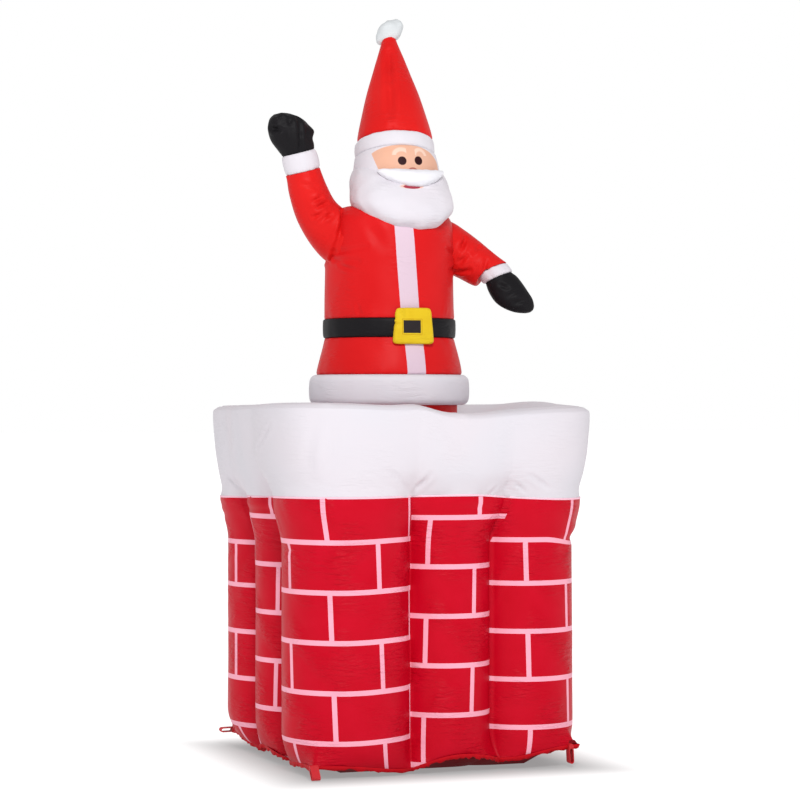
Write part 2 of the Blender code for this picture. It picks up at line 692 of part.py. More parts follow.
def make_tether_loop(number, corner, length, run, broad, room):
    """A strap folded to a loop, sewn in at a base corner. It runs out along one direction."""
    run = Vector(run).normalized()
    name = "tether_loop_%d" % number
    flat = bpy.data.curves.new(name, "CURVE")
    flat.dimensions = "2D"
    flat.fill_mode = "BOTH"
    flat.extrude = STRAP_WIDTH / 2
    outer = LOOP_EYE / 2 + STRAP_THICKNESS
    eye_start = LOOP_ROOT + LOOP_EYE / 2
    eye_end = length - outer
    for half, start, end in ((outer, outer - LOOP_ROOT, eye_end), (LOOP_EYE / 2, eye_start, eye_end)):
        points = loop_outline(half, start, end)
        spline = flat.splines.new("POLY")
        spline.points.add(len(points) - 1)
        for slot, (x, y) in zip(spline.points, points):
            slot.co = (x, y, 0.0, 1.0)
        spline.use_cyclic_u = True
    strap = place(name + "_strap", flat, CUTTERS)
    bpy.context.view_layer.update()
    mesh_data = bpy.data.meshes.new_from_object(strap.evaluated_get(bpy.context.evaluated_depsgraph_get()))
    bpy.data.objects.remove(strap)
    welded = bmesh.new()
    welded.from_mesh(mesh_data)
    bmesh.ops.remove_doubles(welded, verts=welded.verts, dist=0.00001)
    thin = broad.cross(run)
    for vert in welded.verts:
        x, y, z = vert.co
        vert.co = corner + run * x + thin * y + broad * z
    bmesh.ops.recalc_face_normals(welded, faces=welded.faces)
    welded.to_mesh(mesh_data)
    welded.free()
    mesh_data.name = name
    loop = place(name, mesh_data, PIECES)
    cut(loop, room["chimney"])
    dye(loop, BRICK_RED)


def make_tether_loops(room):
    """Left front, right front, left back and right back corner."""
    reach = BASE_SIDE / 2
    ways = (
        (5, -1, -1, 0.002, 0.033, (0.0, -0.61, -0.79), SIDEWAYS),
        (7, 1, -1, 0.023, 0.042, (0.05, 0.0, -1.0), FORWARD),
        (3, -1, 1, 0.004, 0.036, (-1.0, 0.0, -0.02), FORWARD),
        (1, 1, 1, 0.004, 0.036, (1.0, 0.0, -0.02), FORWARD),
    )
    for number, (lobe, x, y, inward, length, run, broad) in enumerate(ways, 1):
        corner = Vector((x * (reach - inward), y * reach, LOBES[lobe][3]))
        make_tether_loop(number, corner, length, run, broad, room)


def make_room():
    """Slightly grown copies of pieces that their neighbours are trimmed to."""
    room = {
        "chimney": loft("room_chimney", chimney_rings(), CUTTERS),
        "coat_skirt": upright_stack("room_coat_skirt", skirt_sections(), CUTTERS),
        "belt": upright_stack("room_belt", belt_sections(), CUTTERS),
        "coat": upright_stack("room_coat", coat_sections(), CUTTERS),
        "head": loft("room_head", head_rings(), CUTTERS),
        "hat": loft("room_hat", hat_rings(), CUTTERS),
        "beard": beard_ball("room_beard", CUTTERS),
    }
    for cutter in room.values():
        swell(cutter)
    return room


ROOM = make_room()
make_chimney()
make_snow_cap()
make_trunk()
make_coat_hem()
make_body()
make_buckle(ROOM)
make_head_and_hat()
make_beard_and_moustache(ROOM)
make_pompom(ROOM)
make_arms(ROOM)
make_tether_loops(ROOM)
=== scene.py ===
"""Dresses the air-filled Santa in his chimney: dyed and printed polyester cloth, sewn and blown up.

Metres, +Z up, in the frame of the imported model. Santa and the chimney's front look along -Y.
"""
import math

import bmesh
import bpy
import numpy as np
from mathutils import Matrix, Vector, noise


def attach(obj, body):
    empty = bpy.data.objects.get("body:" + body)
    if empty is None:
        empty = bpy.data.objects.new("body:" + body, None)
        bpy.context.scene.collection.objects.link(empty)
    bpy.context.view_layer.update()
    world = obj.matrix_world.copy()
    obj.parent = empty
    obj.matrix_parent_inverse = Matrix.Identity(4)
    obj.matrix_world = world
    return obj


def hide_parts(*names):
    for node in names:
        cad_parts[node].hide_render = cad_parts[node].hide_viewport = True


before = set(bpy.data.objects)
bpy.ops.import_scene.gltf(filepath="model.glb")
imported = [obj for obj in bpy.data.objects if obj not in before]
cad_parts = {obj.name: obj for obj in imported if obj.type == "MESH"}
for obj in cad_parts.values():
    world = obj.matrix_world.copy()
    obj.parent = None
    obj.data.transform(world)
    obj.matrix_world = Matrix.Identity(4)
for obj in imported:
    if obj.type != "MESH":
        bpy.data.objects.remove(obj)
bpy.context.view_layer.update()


# The camera stands about 6.3 m off, level with the snow cap, and looks at the figure from a
# little to Santa's right, as in the photograph.

CAMERA_AROUND = math.radians(19.8)
CAMERA_AWAY = 6.345
CAMERA_HEIGHT = 0.868
CAMERA_LENS = 117.0

lens = bpy.data.cameras.new("studio_camera")
lens.sensor_width = 36.0
lens.lens = CAMERA_LENS
camera = bpy.data.objects.new("studio_camera", lens)
camera.location = (-math.sin(CAMERA_AROUND) * CAMERA_AWAY,
                   -math.cos(CAMERA_AROUND) * CAMERA_AWAY, CAMERA_HEIGHT)
camera.rotation_euler = (math.pi / 2, 0.0, -CAMERA_AROUND)
bpy.context.scene.collection.objects.link(camera)
bpy.context.scene.camera = camera


# The chimney is a square tube of red polyester taffeta. Ties inside it pull eight upright
# furrows, so the air swells eight lobes between them. The brick joints are printed on the cloth,
# each lobe's about half a course off its neighbour's, and the foot is sewn to a floor panel.

BASE_HALF = 0.330
BASE_DENT = 0.024       # each tie pulls the foot seam in
TIE_LIFTS = (0.012, 0.012, 0.012, 0.018, 0.016, 0.012, 0.026, 0.012)     # after each lobe
LOBE_FOOT = 0.105       # a lobe is full from this height up
BRICK_HEIGHT = 0.640
SEAM_FLARE = 0.019      # the lobes widen by this much below the cap
FLARE_FROM = 0.525
FLARE_TO = 0.628
TOP_HALF = 0.352        # near the seam the furrows fill towards a square of this half width
TOP_FILL = 0.50
FILL_FROM = 0.555
SOFT_CORNERS = 5        # power of the outline between a round and a square

# Centre, radius, lift of the foot seam, wave of the top seam, rim over that seam; then the
# height of the highest printed bed joint, the direction of an upright joint over it, and how
# far the uprights lean for each metre down
LOBES = (
    (0.230, 0.000, 0.119, 0.040, -0.003, 0.227, 0.604, 18.0, -0.01),      # right side
    (0.217, 0.217, 0.141, 0.044, -0.005, 0.221, 0.548, 60.0, 0.02),       # right back corner
    (0.000, 0.230, 0.114, 0.042, 0.000, 0.226, 0.602, 105.0, 0.0),        # back
    (-0.219, 0.231, 0.1445, 0.040, -0.013, 0.227, 0.5196, 147.3, 0.0),    # left back corner
    (-0.2285, 0.032, 0.124, 0.034, -0.004, 0.220, 0.5908, 220.7, -0.028),  # left side
    (-0.209, -0.209, 0.151, 0.030, 0.004, 0.218, 0.542, 235.2, 0.043),    # left front corner
    (0.0235, -0.230, 0.111, 0.042, 0.007, 0.190, 0.596, 293.6, -0.027),   # front
    (0.229, -0.2105, 0.125, 0.052, -0.006, 0.219, 0.540, 307.6, 0.026),   # right front corner
)
STEPS_PER_LOBE = 64     # points across each lobe
ROWS_UP = 96            # rows of points from the foot seam to the cap


def crossing(first, second, grow):
    """Direction in which two neighbouring lobes meet."""
    centre_1, centre_2 = Vector(first[:2]), Vector(second[:2])
    radius_1, radius_2 = first[2] + grow, second[2] + grow
    span = centre_2 - centre_1
    along = (span.length_squared + radius_1 ** 2 - radius_2 ** 2) / (2 * span.length)
    aside = math.sqrt(max(radius_1 ** 2 - along ** 2, 0.0))
    unit = span.normalized()
    meeting = centre_1 + unit * along + Vector((unit.y, -unit.x)) * aside
    return math.atan2(meeting.y, meeting.x)


def lobe_reach(lobe, angle, grow):
    """Distance from the axis to the outside of one lobe."""
    ahead = lobe[0] * math.cos(angle) + lobe[1] * math.sin(angle)
    aside = lobe[0] * math.sin(angle) - lobe[1] * math.cos(angle)
    return ahead + math.sqrt(max((lobe[2] + grow) ** 2 - aside ** 2, 0.0))


def lobe_columns(grow, steps=STEPS_PER_LOBE):
    """For each upright row of stitches around: its lobe, its share across, direction and reach."""
    columns = []
    for i, lobe in enumerate(LOBES):
        start = crossing(LOBES[i - 1], lobe, grow)
        end = crossing(lobe, LOBES[(i + 1) % len(LOBES)], grow)
        middle = math.atan2(lobe[1], lobe[0])
        if i % 2:
            middle = math.copysign(math.pi / 4 if lobe[0] > 0 else math.pi * 3 / 4, lobe[1])
        before = (middle - start) % (2 * math.pi)
        after = (end - middle) % (2 * math.pi)
        for k in range(steps):
            share = k / steps
            angle = start + before * share * 2 if share <= 0.5 else middle + after * (share * 2 - 1)
            columns.append((i, share, angle, lobe_reach(lobe, angle, grow)))
    return columns


def around(column, i, share):
    """A lobe's own value, eased into its neighbours' values at the ties."""
    here = LOBES[i][column]
    other = LOBES[(i + (1 if share > 0.5 else -1)) % len(LOBES)][column]
    return here + (other - here) * (0.5 - 0.5 * math.cos(math.pi * abs(share - 0.5)))


def ease(value, low, high):
    """0 below low, 1 above high, and smooth between."""
    t = min(max((value - low) / (high - low), 0.0), 1.0)
    return t * t * (3 - 2 * t)


def soft_square(half, angle):
    """Distance from the axis to a square with soft corners."""
    c, s = abs(math.cos(angle)), abs(math.sin(angle))
    return half * (c ** SOFT_CORNERS + s ** SOFT_CORNERS) ** (-1 / SOFT_CORNERS)


def foot_seam(lobe_index, share, angle):
    """The sewn square at the foot: ties pull it in, and it lifts under each lobe."""
    bulge = math.sin(math.pi * share)
    rise = bulge ** 2 if lobe_index % 2 else bulge
    side = BASE_HALF - BASE_DENT * (1 - bulge) ** 2
    square = side / max(abs(math.cos(angle)), abs(math.sin(angle)))
    tie = TIE_LIFTS[lobe_index if share > 0.5 else lobe_index - 1]
    height = tie + (LOBES[lobe_index][3] - tie) * rise
    return Vector((square * math.cos(angle), square * math.sin(angle), height))


def ripple(x, y, seed):
    """Smooth noise from -1 to 1."""
    return noise.noise(Vector((x, y, seed)))


# Folds where the flared top of a lobe buckles: lobe, share across, height, half width in shares,
# half height and depth
BUCKLES = (
    (7, 0.80, 0.541, 0.22, 0.011, 0.0085), (7, 0.45, 0.536, 0.16, 0.007, 0.0022),
    (7, 0.47, 0.512, 0.10, 0.008, 0.0025), (3, 0.42, 0.585, 0.30, 0.010, 0.0060),
    (3, 0.55, 0.607, 0.20, 0.007, 0.0030), (4, 0.62, 0.604, 0.30, 0.008, 0.0050),
    (4, 0.70, 0.586, 0.18, 0.007, 0.0030), (5, 0.27, 0.521, 0.07, 0.007, 0.0030),
    (5, 0.24, 0.492, 0.05, 0.006, 0.0018), (1, 0.30, 0.560, 0.22, 0.010, 0.0060),
    (0, 0.55, 0.596, 0.30, 0.009, 0.0040), (2, 0.35, 0.590, 0.30, 0.009, 0.0045),
    (1, 0.75, 0.590, 0.18, 0.008, 0.0040), (6, 0.60, 0.616, 0.25, 0.007, 0.0020),
)


def brick_skin(i, share, angle, height_share):
    """A point of the red tube, and the direction in which the air pushes it."""
    lobe = LOBES[i]
    foot = foot_seam(i, share, angle)
    top = BRICK_HEIGHT + around(4, i, share)
    z = foot.z + (top - foot.z) * height_share
    swollen = math.sin(math.pi / 2 * min((z - foot.z) / (LOBE_FOOT - foot.z), 1.0)) ** 0.72
    flare = SEAM_FLARE * ease(z, FLARE_FROM, FLARE_TO)
    reach = lobe_reach(lobe, angle, flare)
    fill = TOP_FILL * ease(z, FILL_FROM, BRICK_HEIGHT)
    reach += max(soft_square(TOP_HALF, angle) - reach, 0.0) * fill
    wide = Vector((reach * math.cos(angle), reach * math.sin(angle), z))
    point = foot.lerp(wide, swollen)
    point.z = z
    out = Vector((point.x - lobe[0], point.y - lobe[1], 0.0)).normalized()
    across = math.sin(math.pi * share) ** 0.5
    push = 0.0
    for place, at, level, wide_share, tall, depth in BUCKLES:
        if place == i:
            beside = ((share - at) / wide_share) ** 2
            push -= depth * math.exp(-beside - ((z - level) / tall) ** 2)
            push += 0.35 * depth * math.exp(-beside - ((z - level) / tall - 2.2) ** 2)
    run = lobe[2] * angle
    near_top = math.exp(-(top - z) / 0.022)
    near_foot = math.exp(-(z - foot.z) / 0.020)
    push += near_top * 0.0026 * ripple(run * 42 + i * 7, z * 9, 1.0) * across
    push += near_foot * 0.0042 * ripple(run * 38 + i * 5, z * 8, 2.0) * across
    push += 0.0022 * ripple(run * 5 + i * 3, z * 4.5, 3.0) * across
    in_patches = ease(ripple(run * 6, z * 5, 5.0), -0.1, 0.4)
    push += 0.0009 * ripple(run * 9 + i * 3, z * 48, 4.0) * across * in_patches
    return point + out * push


BRICK_LENGTH = 0.236
COURSE = 0.1148
JOINT_WIDTH = 0.0122


def brick_uv(i, angle, z):
    """Metres along and up the print, counted from an upright joint over the highest bed joint.

    The cloth pulls the bed joints of three corner lobes askew where its folds buckle.
    """
    lobe = LOBES[i]
    x = lobe_reach(lobe, angle, 0.0) * math.cos(angle) - lobe[0]
    y = lobe_reach(lobe, angle, 0.0) * math.sin(angle) - lobe[1]
    turn = math.atan2(y, x) - math.radians(lobe[7])
    turn = (turn + math.pi) % (2 * math.pi) - math.pi
    bed = lobe[6]
    if i == 7:
        bed -= 0.017 * ease(math.degrees(turn), -35.0, 25.0) * ease(z, 0.47, 0.56)
        bed += (0.0128 + 0.0187 * (0.438 - z)) * (1 - ease(z, 0.45, 0.53))
    if i == 3:
        bed += 0.010 * (1 - ease(z, 0.40, 0.50))
    if i == 5:
        bed += 0.004 * ease(math.degrees(turn), 10.0, 70.0)
    return lobe[2] * turn + BRICK_LENGTH / 2 - (bed - z) * lobe[8], z - bed


def grid_mesh(name, rows, maps, caps=True):
    """A skin over rings of points, with maps giving each face corner its place on the cloth."""
    skin = bmesh.new()
    made = [[skin.verts.new(point) for point in row] for row in rows]
    layer = skin.loops.layers.uv.new("cloth")
    count = len(rows[0])
    for r in range(len(rows) - 1):
        for c in range(count):
            d = (c + 1) % count
            face = skin.faces.new((made[r][c], made[r][d], made[r + 1][d], made[r + 1][c]))
            places = ((r, c), (r, c + 1), (r + 1, c + 1), (r + 1, c))
            for loop, (row, column) in zip(face.loops, places):
                loop[layer].uv = maps(row, column, c)
            face.smooth = True
    if caps:
        for row, first in ((0, True), (len(rows) - 1, False)):
            middle = skin.verts.new(sum((v.co for v in made[row]), Vector()) / count)
            for c in range(count):
                d = (c + 1) % count
                one, two = (d, c) if first else (c, d)
                face = skin.faces.new((middle, made[row][one], made[row][two]))
                face.smooth = True
                for loop in face.loops:
                    loop[layer].uv = maps(row, c, c)
    mesh = bpy.data.meshes.new(name)
    skin.to_mesh(mesh)
    skin.free()
    piece = bpy.data.objects.new(name, mesh)
    bpy.context.scene.collection.objects.link(piece)
    return piece


# The floor panel is flat in the middle and arches up behind the seam: shares of the seam's reach
# and height
FLOOR_PANEL = ((0.30, 0.0), (0.70, 0.02), (0.84, 0.75), (0.93, 1.30), (0.98, 1.22))


def make_chimney_skin():
    """The eight lobes, from the flat of the floor panel up to the seam with the snow cap."""
    columns = lobe_columns(0.0)
    rows = []
    for inward, lift in FLOOR_PANEL:
        row = []
        for i, share, angle, reach in columns:
            foot = foot_seam(i, share, angle)
            row.append(Vector((foot.x * inward, foot.y * inward, foot.z * lift)))
        rows.append(row)
    for k in range(ROWS_UP + 1):
        level = k / ROWS_UP
        level = 0.5 * level + 0.5 * (0.5 - 0.5 * math.cos(math.pi * level))
        rows.append([brick_skin(i, share, angle, level) for i, share, angle, reach in columns])

    def place_on_print(row, column, owner):
        i = columns[owner][0]
        share_column = column % len(columns)
        angle = columns[share_column][2]
        return brick_uv(i, angle, rows[row][share_column].z)

    skin = grid_mesh("chimney_cloth", rows, place_on_print)
    for face in skin.data.polygons:
        row = face.index // len(columns)
        face.material_index = int(row < len(FLOOR_PANEL) or row == len(rows) - 1)
    return skin


def linear(hex_colour):
    """An sRGB hex colour as the linear values that a shader takes."""
    channels = [int(hex_colour[i:i + 2], 16) / 255 for i in (0, 2, 4)]
    return [c / 12.92 if c <= 0.04045 else ((c + 0.055) / 1.055) ** 2.4 for c in channels] + [1.0]


def add(tree, kind, settings=None, links=None):
    """Add a node, with its settings, and its inputs set to values or linked to sockets."""
    made = tree.nodes.new(kind)
    for key, value in (settings or {}).items():
        setattr(made, key, value)
    for key, value in (links or {}).items():
        if isinstance(value, bpy.types.NodeSocket):
            tree.links.new(value, made.inputs[key])
        else:
            made.inputs[key].default_value = value
    return made


def mix(tree, share, first, second):
    """The first colour where the share is 0, the second where it is 1."""
    return add(tree, "ShaderNodeMix", {"data_type": "RGBA"},
               {"Factor": share, "A": first, "B": second}).outputs["Result"]


def blotched(tree, place, scale, detail, first, second):
    """A dye that has taken a little unevenly, in blotches from one hex colour to another."""
    blotches = add(tree, "ShaderNodeTexNoise", None, {"Vector": place, "Scale": scale, "Detail": detail})
    return mix(tree, blotches.outputs["Fac"], linear(first), linear(second))


def reckon(tree, operation, *values):
    """The result of one step of arithmetic on values or sockets."""
    return add(tree, "ShaderNodeMath", {"operation": operation}, dict(enumerate(values))).outputs[0]


def ramp(tree, value, low, high, first=0.0, last=1.0, curve="LINEAR"):
    """A value that runs from low to high, brought to run from first to last."""
    return add(tree, "ShaderNodeMapRange", {"interpolation_type": curve},
               {"Value": value, "From Min": low, "From Max": high,
                "To Min": first, "To Max": last}).outputs["Result"]


def apart(tree, place):
    """The first two coordinates of a place."""
    split = add(tree, "ShaderNodeSeparateXYZ", None, {"Vector": place})
    return split.outputs["X"], split.outputs["Y"]


THREADS = 0.0016        # the taffeta's threads are 0.15 mm apart, drawn ten times coarser to show


def taffeta(name, roughness=0.46, wrinkle=0.35):
    """Plain-woven polyester: a soft satin shine, threads and fine creases along the weft.

    The crossed threads scatter most of the shine, so it is weaker than that of a polyester sheet.
    Gives the material, its node tree, its shader and the cloth's own coordinates.
    """
    cloth = bpy.data.materials.new(name)
    cloth.use_nodes = True
    tree = cloth.node_tree
    shader = tree.nodes["Principled BSDF"]
    shader.inputs["Roughness"].default_value = roughness
    shader.inputs["IOR"].default_value = 1.54
    shader.inputs["Specular IOR Level"].default_value = 0.07
    place = add(tree, "ShaderNodeUVMap", {"uv_map": "cloth"}).outputs["UV"]
    stretched = add(tree, "ShaderNodeMapping", None, {"Vector": place, "Scale": (28.0, 130.0, 1.0)})
    creases = add(tree, "ShaderNodeTexNoise", None,
                  {"Vector": stretched.outputs["Vector"], "Scale": 1.0, "Detail": 3.0, "Distortion": 0.6})
    patches = add(tree, "ShaderNodeTexNoise", None, {"Vector": place, "Scale": 9.0, "Detail": 1.0})
    strong = ramp(tree, patches.outputs["Fac"], 0.42, 0.66, curve="SMOOTHSTEP")
    crease_height = reckon(tree, "MULTIPLY", creases.outputs["Fac"], strong)
    crease_bump = add(tree, "ShaderNodeBump", None,
                      {"Height": crease_height, "Strength": wrinkle, "Distance": 0.009})
    weft = add(tree, "ShaderNodeTexWave", {"bands_direction": "Y"},
               {"Vector": place, "Scale": 0.31 / THREADS, "Distortion": 0.5})
    weave_bump = add(tree, "ShaderNodeBump", None,
                     {"Height": weft.outputs["Fac"], "Strength": 0.05, "Distance": 0.0004,
                      "Normal": crease_bump.outputs["Normal"]})
    tree.links.new(weave_bump.outputs["Normal"], shader.inputs["Normal"])
    return cloth, tree, shader, place


def brick_print():
    """Red taffeta with the joints of a brick wall printed in a pale, slightly uneven pink."""
    cloth, tree, shader, place = taffeta("brick_print_taffeta", roughness=0.42, wrinkle=0.75)
    joints = add(tree, "ShaderNodeTexBrick", {"offset": 0.5, "offset_frequency": 2, "squash": 1.0},
                 {"Vector": place, "Color1": (0, 0, 0, 1), "Color2": (0, 0, 0, 1), "Mortar": (1, 1, 1, 1),
                  "Scale": 1.0, "Mortar Size": JOINT_WIDTH / 2, "Mortar Smooth": 0.08,
                  "Brick Width": BRICK_LENGTH, "Row Height": COURSE})
    red = blotched(tree, place, 14.0, 3.0, "b80018", "c70926")
    pink = blotched(tree, place, 14.0, 3.0, "ef9db2", "f7b2c4")
    colour = mix(tree, joints.outputs["Color"], red, pink)
    tree.links.new(colour, shader.inputs["Base Color"])
    return cloth


def finish_piece(piece, cloth, slot, *nodes, soft=True):
    """Give a piece its cloth, let it ride on the one body, and let it stand for its solids."""
    piece.data.materials.append(cloth)
    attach(piece, "root")
    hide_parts(*nodes)
    return piece


def one_colour_taffeta(name, hex_colour, roughness):
    """Taffeta of one even colour, for the small pieces."""
    cloth, tree, shader, place = taffeta(name, roughness)
    shader.inputs["Base Color"].default_value = linear(hex_colour)
    return cloth


# The unprinted panel under the foot is of a darker red than the print: painted shade under the arch of the
# foot seam
chimney = finish_piece(make_chimney_skin(), brick_print(), "brick_print", "chimney")
chimney.data.materials.append(one_colour_taffeta("floor_panel_painted_shade_taffeta", "7a0d16", 0.6))


# The seam round the foot leaves a ruffled edge of doubled red cloth, a fingernail wide, which
# hangs under the print and shows as a brighter line along the floor.

WELT_DROP = 0.0065
WELT_WAVE = 0.003
UP = Vector((0.0, 0.0, 1.0))


def make_foot_welt():
    """A thin strip along the foot seam, waved by the gathering of the cloth."""
    columns = lobe_columns(0.0, 48)
    rows = [[], [], [], []]
    for i, share, angle, reach in columns:
        seam = foot_seam(i, share, angle)
        out = Vector((math.cos(angle), math.sin(angle), 0.0))
        wave = ripple(angle * 34, 0.0, 8.0) + 0.8 * ripple(angle * 90, 0.0, 8.5)
        drop = WELT_DROP * (1 + 0.6 * ripple(angle * 17, 0.0, 9.0) + 0.7 * ripple(angle * 60, 0.0, 9.5))
        drop = min(max(drop, 0.002), seam.z - 0.002)
        low = seam + out * (WELT_WAVE * wave) - UP * drop
        rows[0].append(seam - out * 0.004)
        rows[1].append(low - out * 0.0015)
        rows[2].append(low + out * 0.0015)
        rows[3].append(seam + out * 0.0035 + UP * 0.003)
    return grid_mesh("foot_welt", rows, lambda row, column, owner: (column * 0.006, row * 0.004),
                     caps=False)


finish_piece(make_foot_welt(), one_colour_taffeta("doubled_red_taffeta", "cb0f1e", 0.5), "brick_print",
             soft=False)


# Four loops of red polypropylene webbing are sewn into the corners of the foot seam, for the
# ground pegs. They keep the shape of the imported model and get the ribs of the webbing.

RIBS = 0.0012           # the webbing's ribs run across it, a little over a millimetre apart


def webbing():
    """Woven polypropylene tape: dull, with ribs across it."""
    tape = bpy.data.materials.new("red_webbing_tape")
    tape.use_nodes = True
    tree = tape.node_tree
    shader = tree.nodes["Principled BSDF"]
    shader.inputs["Base Color"].default_value = linear("c8101f")
    shader.inputs["Roughness"].default_value = 0.62
    place = add(tree, "ShaderNodeTexCoord").outputs["Object"]
    ribs = add(tree, "ShaderNodeTexWave", {"bands_direction": "Z"},
               {"Vector": place, "Scale": 0.31 / RIBS, "Distortion": 1.0})
    bump = add(tree, "ShaderNodeBump", None,
               {"Height": ribs.outputs["Fac"], "Strength": 0.4, "Distance": 0.0006})
    tree.links.new(bump.outputs["Normal"], shader.inputs["Normal"])
    return tape


red_tape = webbing()
for number in (1, 2, 3, 4):
    loop_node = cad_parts["tether_loop_%d" % number]
    loop_node.data.materials.clear()
    loop_node.data.materials.append(red_tape)


# The snow cap is a roll of white taffeta on the chimney's rim. It is sewn to the brick print
# below and stands out over it, and its top panel sinks to the round that carries Santa.

CAP_SWELL = 0.037       # the roll stands out over the chimney by this much
CAP_HALF = 0.363
CAP_SHIFT = -0.008
CAP_ROUND = 0.019       # radius of the rim
WELL_TOP = 0.8049
WELL_RADIUS = 0.182
SANTA_X = -0.028
SEWN = 0.0003           # the gap between two pieces at their seam
FRONT_RISE = 0.009      # the rim is puffed up a little beside the left end of its front
FRONT_RISE_AT = 256.5
FRONT_RISE_WIDE = 7.5


def cap_ring(swell, softness):
    """The chimney's outline blown up, with its furrows filled towards a soft square."""
    points = []
    for i, share, angle, reach in lobe_columns(swell):
        reach += (soft_square(CAP_HALF + swell, angle) - reach) * softness
        points.append(Vector((reach * math.cos(angle) + CAP_SHIFT * softness, reach * math.sin(angle),
                              BRICK_HEIGHT + around(4, i, share))))
    return points


def between(rings, parts):
    """More rings between the given ones, on a smooth curve through them."""
    filled = []
    for r in range(len(rings) - 1):
        before, first = rings[max(r - 1, 0)], rings[r]
        second, after = rings[r + 1], rings[min(r + 2, len(rings) - 1)]
        steps = parts[r] if isinstance(parts, (list, tuple)) else parts
        for k in range(steps):
            t = k / steps
            filled.append([
                (b * 2 + (c - a) * t + (a * 2 - b * 5 + c * 4 - d) * t ** 2
                 + (b * 3 - a - c * 3 + d) * t ** 3) / 2
                for a, b, c, d in zip(before, first, second, after)])
    filled.append(list(rings[-1]))
    return filled


def make_cap_skin():
    """From the seam out over the roll, across the top panel and in to the flat round."""
    tall = []
    foot = []
    for i, share, angle, reach in lobe_columns(0.0):
        off = (math.degrees(angle) % 360 - FRONT_RISE_AT) / FRONT_RISE_WIDE
        tall.append(around(5, i, share) + FRONT_RISE * math.exp(-off ** 2))
        foot.append(brick_skin(i, share, angle, 1.0) + UP * SEWN)
    rings = [foot]
    for up, swell, softness in ((0.12, 0.46, 0.52), (0.32, 0.68, 0.80), (0.62, 0.90, 0.92)):
        ring = cap_ring(CAP_SWELL * swell, softness)
        for point, high in zip(ring, tall):
            point.z += (high - CAP_ROUND * 1.3) * up
        rings.append(ring)
    for swell, softness, drop in ((1.02, 0.94, 1.3), (0.86, 0.92, 0.42), (0.25, 0.88, 0.0)):
        ring = cap_ring(CAP_SWELL * swell, softness)
        for point, high in zip(ring, tall):
            point.z += high - CAP_ROUND * drop
        rings.append(ring)
    edge = rings[-1]
    centre = Vector((SANTA_X, 0.0, WELL_TOP))
    flat = []
    for point in edge:
        turn = math.atan2(point.y, point.x)
        flat.append(centre + Vector((math.cos(turn), math.sin(turn), 0.0)) * WELL_RADIUS)
    for share, sunk in ((0.25, 0.06), (0.55, 0.42), (0.82, 0.88)):
        panel = [a.lerp(b, share) for a, b in zip(edge, flat)]
        for point, high in zip(panel, edge):
            point.z = high.z + (WELL_TOP - high.z) * sunk
        rings.append(panel)
    rings.append(flat)
    return between(rings, [6, 10, 16, 14, 8, 6, 6, 6, 6, 4])


def lengths_up(rows):
    """How far each row is from the first, along the cloth."""
    run = [0.0]
    for low, high in zip(rows, rows[1:]):
        step = sum((b - a).length for a, b in zip(low[::8], high[::8])) / len(low[::8])
        run.append(run[-1] + step)
    return run


def cloth_map(rows):
    """Metres round and up the cloth, for materials that follow its threads."""
    run = lengths_up(rows)
    middle = rows[len(rows) // 2]
    girth = sum((b - a).length for a, b in zip(middle, middle[1:] + middle[:1]))
    return lambda row, column, owner: (girth * column / len(middle), run[row])


def gather(rows, depth, seed, reach=0.016, foot=True, top=True, pitch=0.024):
    """Pull small puckers into the cloth beside its seams, and a little unevenness all over."""
    run = lengths_up(rows)
    whole = run[-1]
    for row, up in zip(rows, run):
        centre = sum(row, Vector()) / len(row)
        girth = sum((b - a).length for a, b in zip(row, row[1:] + row[:1]))
        near = math.exp(-up / reach) * foot + math.exp(-(whole - up) / reach) * top
        inland = min(up, whole - up, 0.03) / 0.03
        for c, point in enumerate(row):
            turn = 2 * math.pi * c / len(row)
            radius = girth / (2 * math.pi)
            x, y = math.cos(turn) * radius, math.sin(turn) * radius
            fine = ripple(x / pitch, y / pitch, seed + up * 12)
            broad = ripple(x / 0.09, y / 0.09, seed * 3 + up * 9)
            out = point - centre
            if out.length > 1e-6:
                point += out.normalized() * depth * (near * fine + 0.7 * broad * inland)
    return rows


def press(piece, folds):
    """Press folds into a piece. Each runs between two points, with its width and depth."""
    mesh = piece.data
    count = len(mesh.vertices)
    points = np.empty(count * 3)
    normals = np.empty(count * 3)
    mesh.vertices.foreach_get("co", points)
    mesh.vertices.foreach_get("normal", normals)
    points, normals = points.reshape(-1, 3), normals.reshape(-1, 3)
    push = np.zeros(count)
    for start, end, width, depth in folds:
        start, end = np.array(start), np.array(end)
        line = end - start
        along = np.clip((points - start) @ line / (line @ line), 0.0, 1.0)
        away = np.linalg.norm(points - start - along[:, None] * line, axis=1)
        taper = 0.35 + 0.65 * np.sin(np.pi * np.clip(along, 0.02, 0.98))
        push -= depth * taper * np.exp(-(away / width) ** 2)
        push += 0.4 * depth * taper * np.exp(-((away - 2.0 * width) / width) ** 2)
    points += normals * push[:, None]
    mesh.vertices.foreach_set("co", points.ravel())
    mesh.update()
    return piece


RIM_SEAM_ROW = 58       # the top panel is sewn on along the crest of the rim
RIM_SEAM_DEPTH = 0.0016

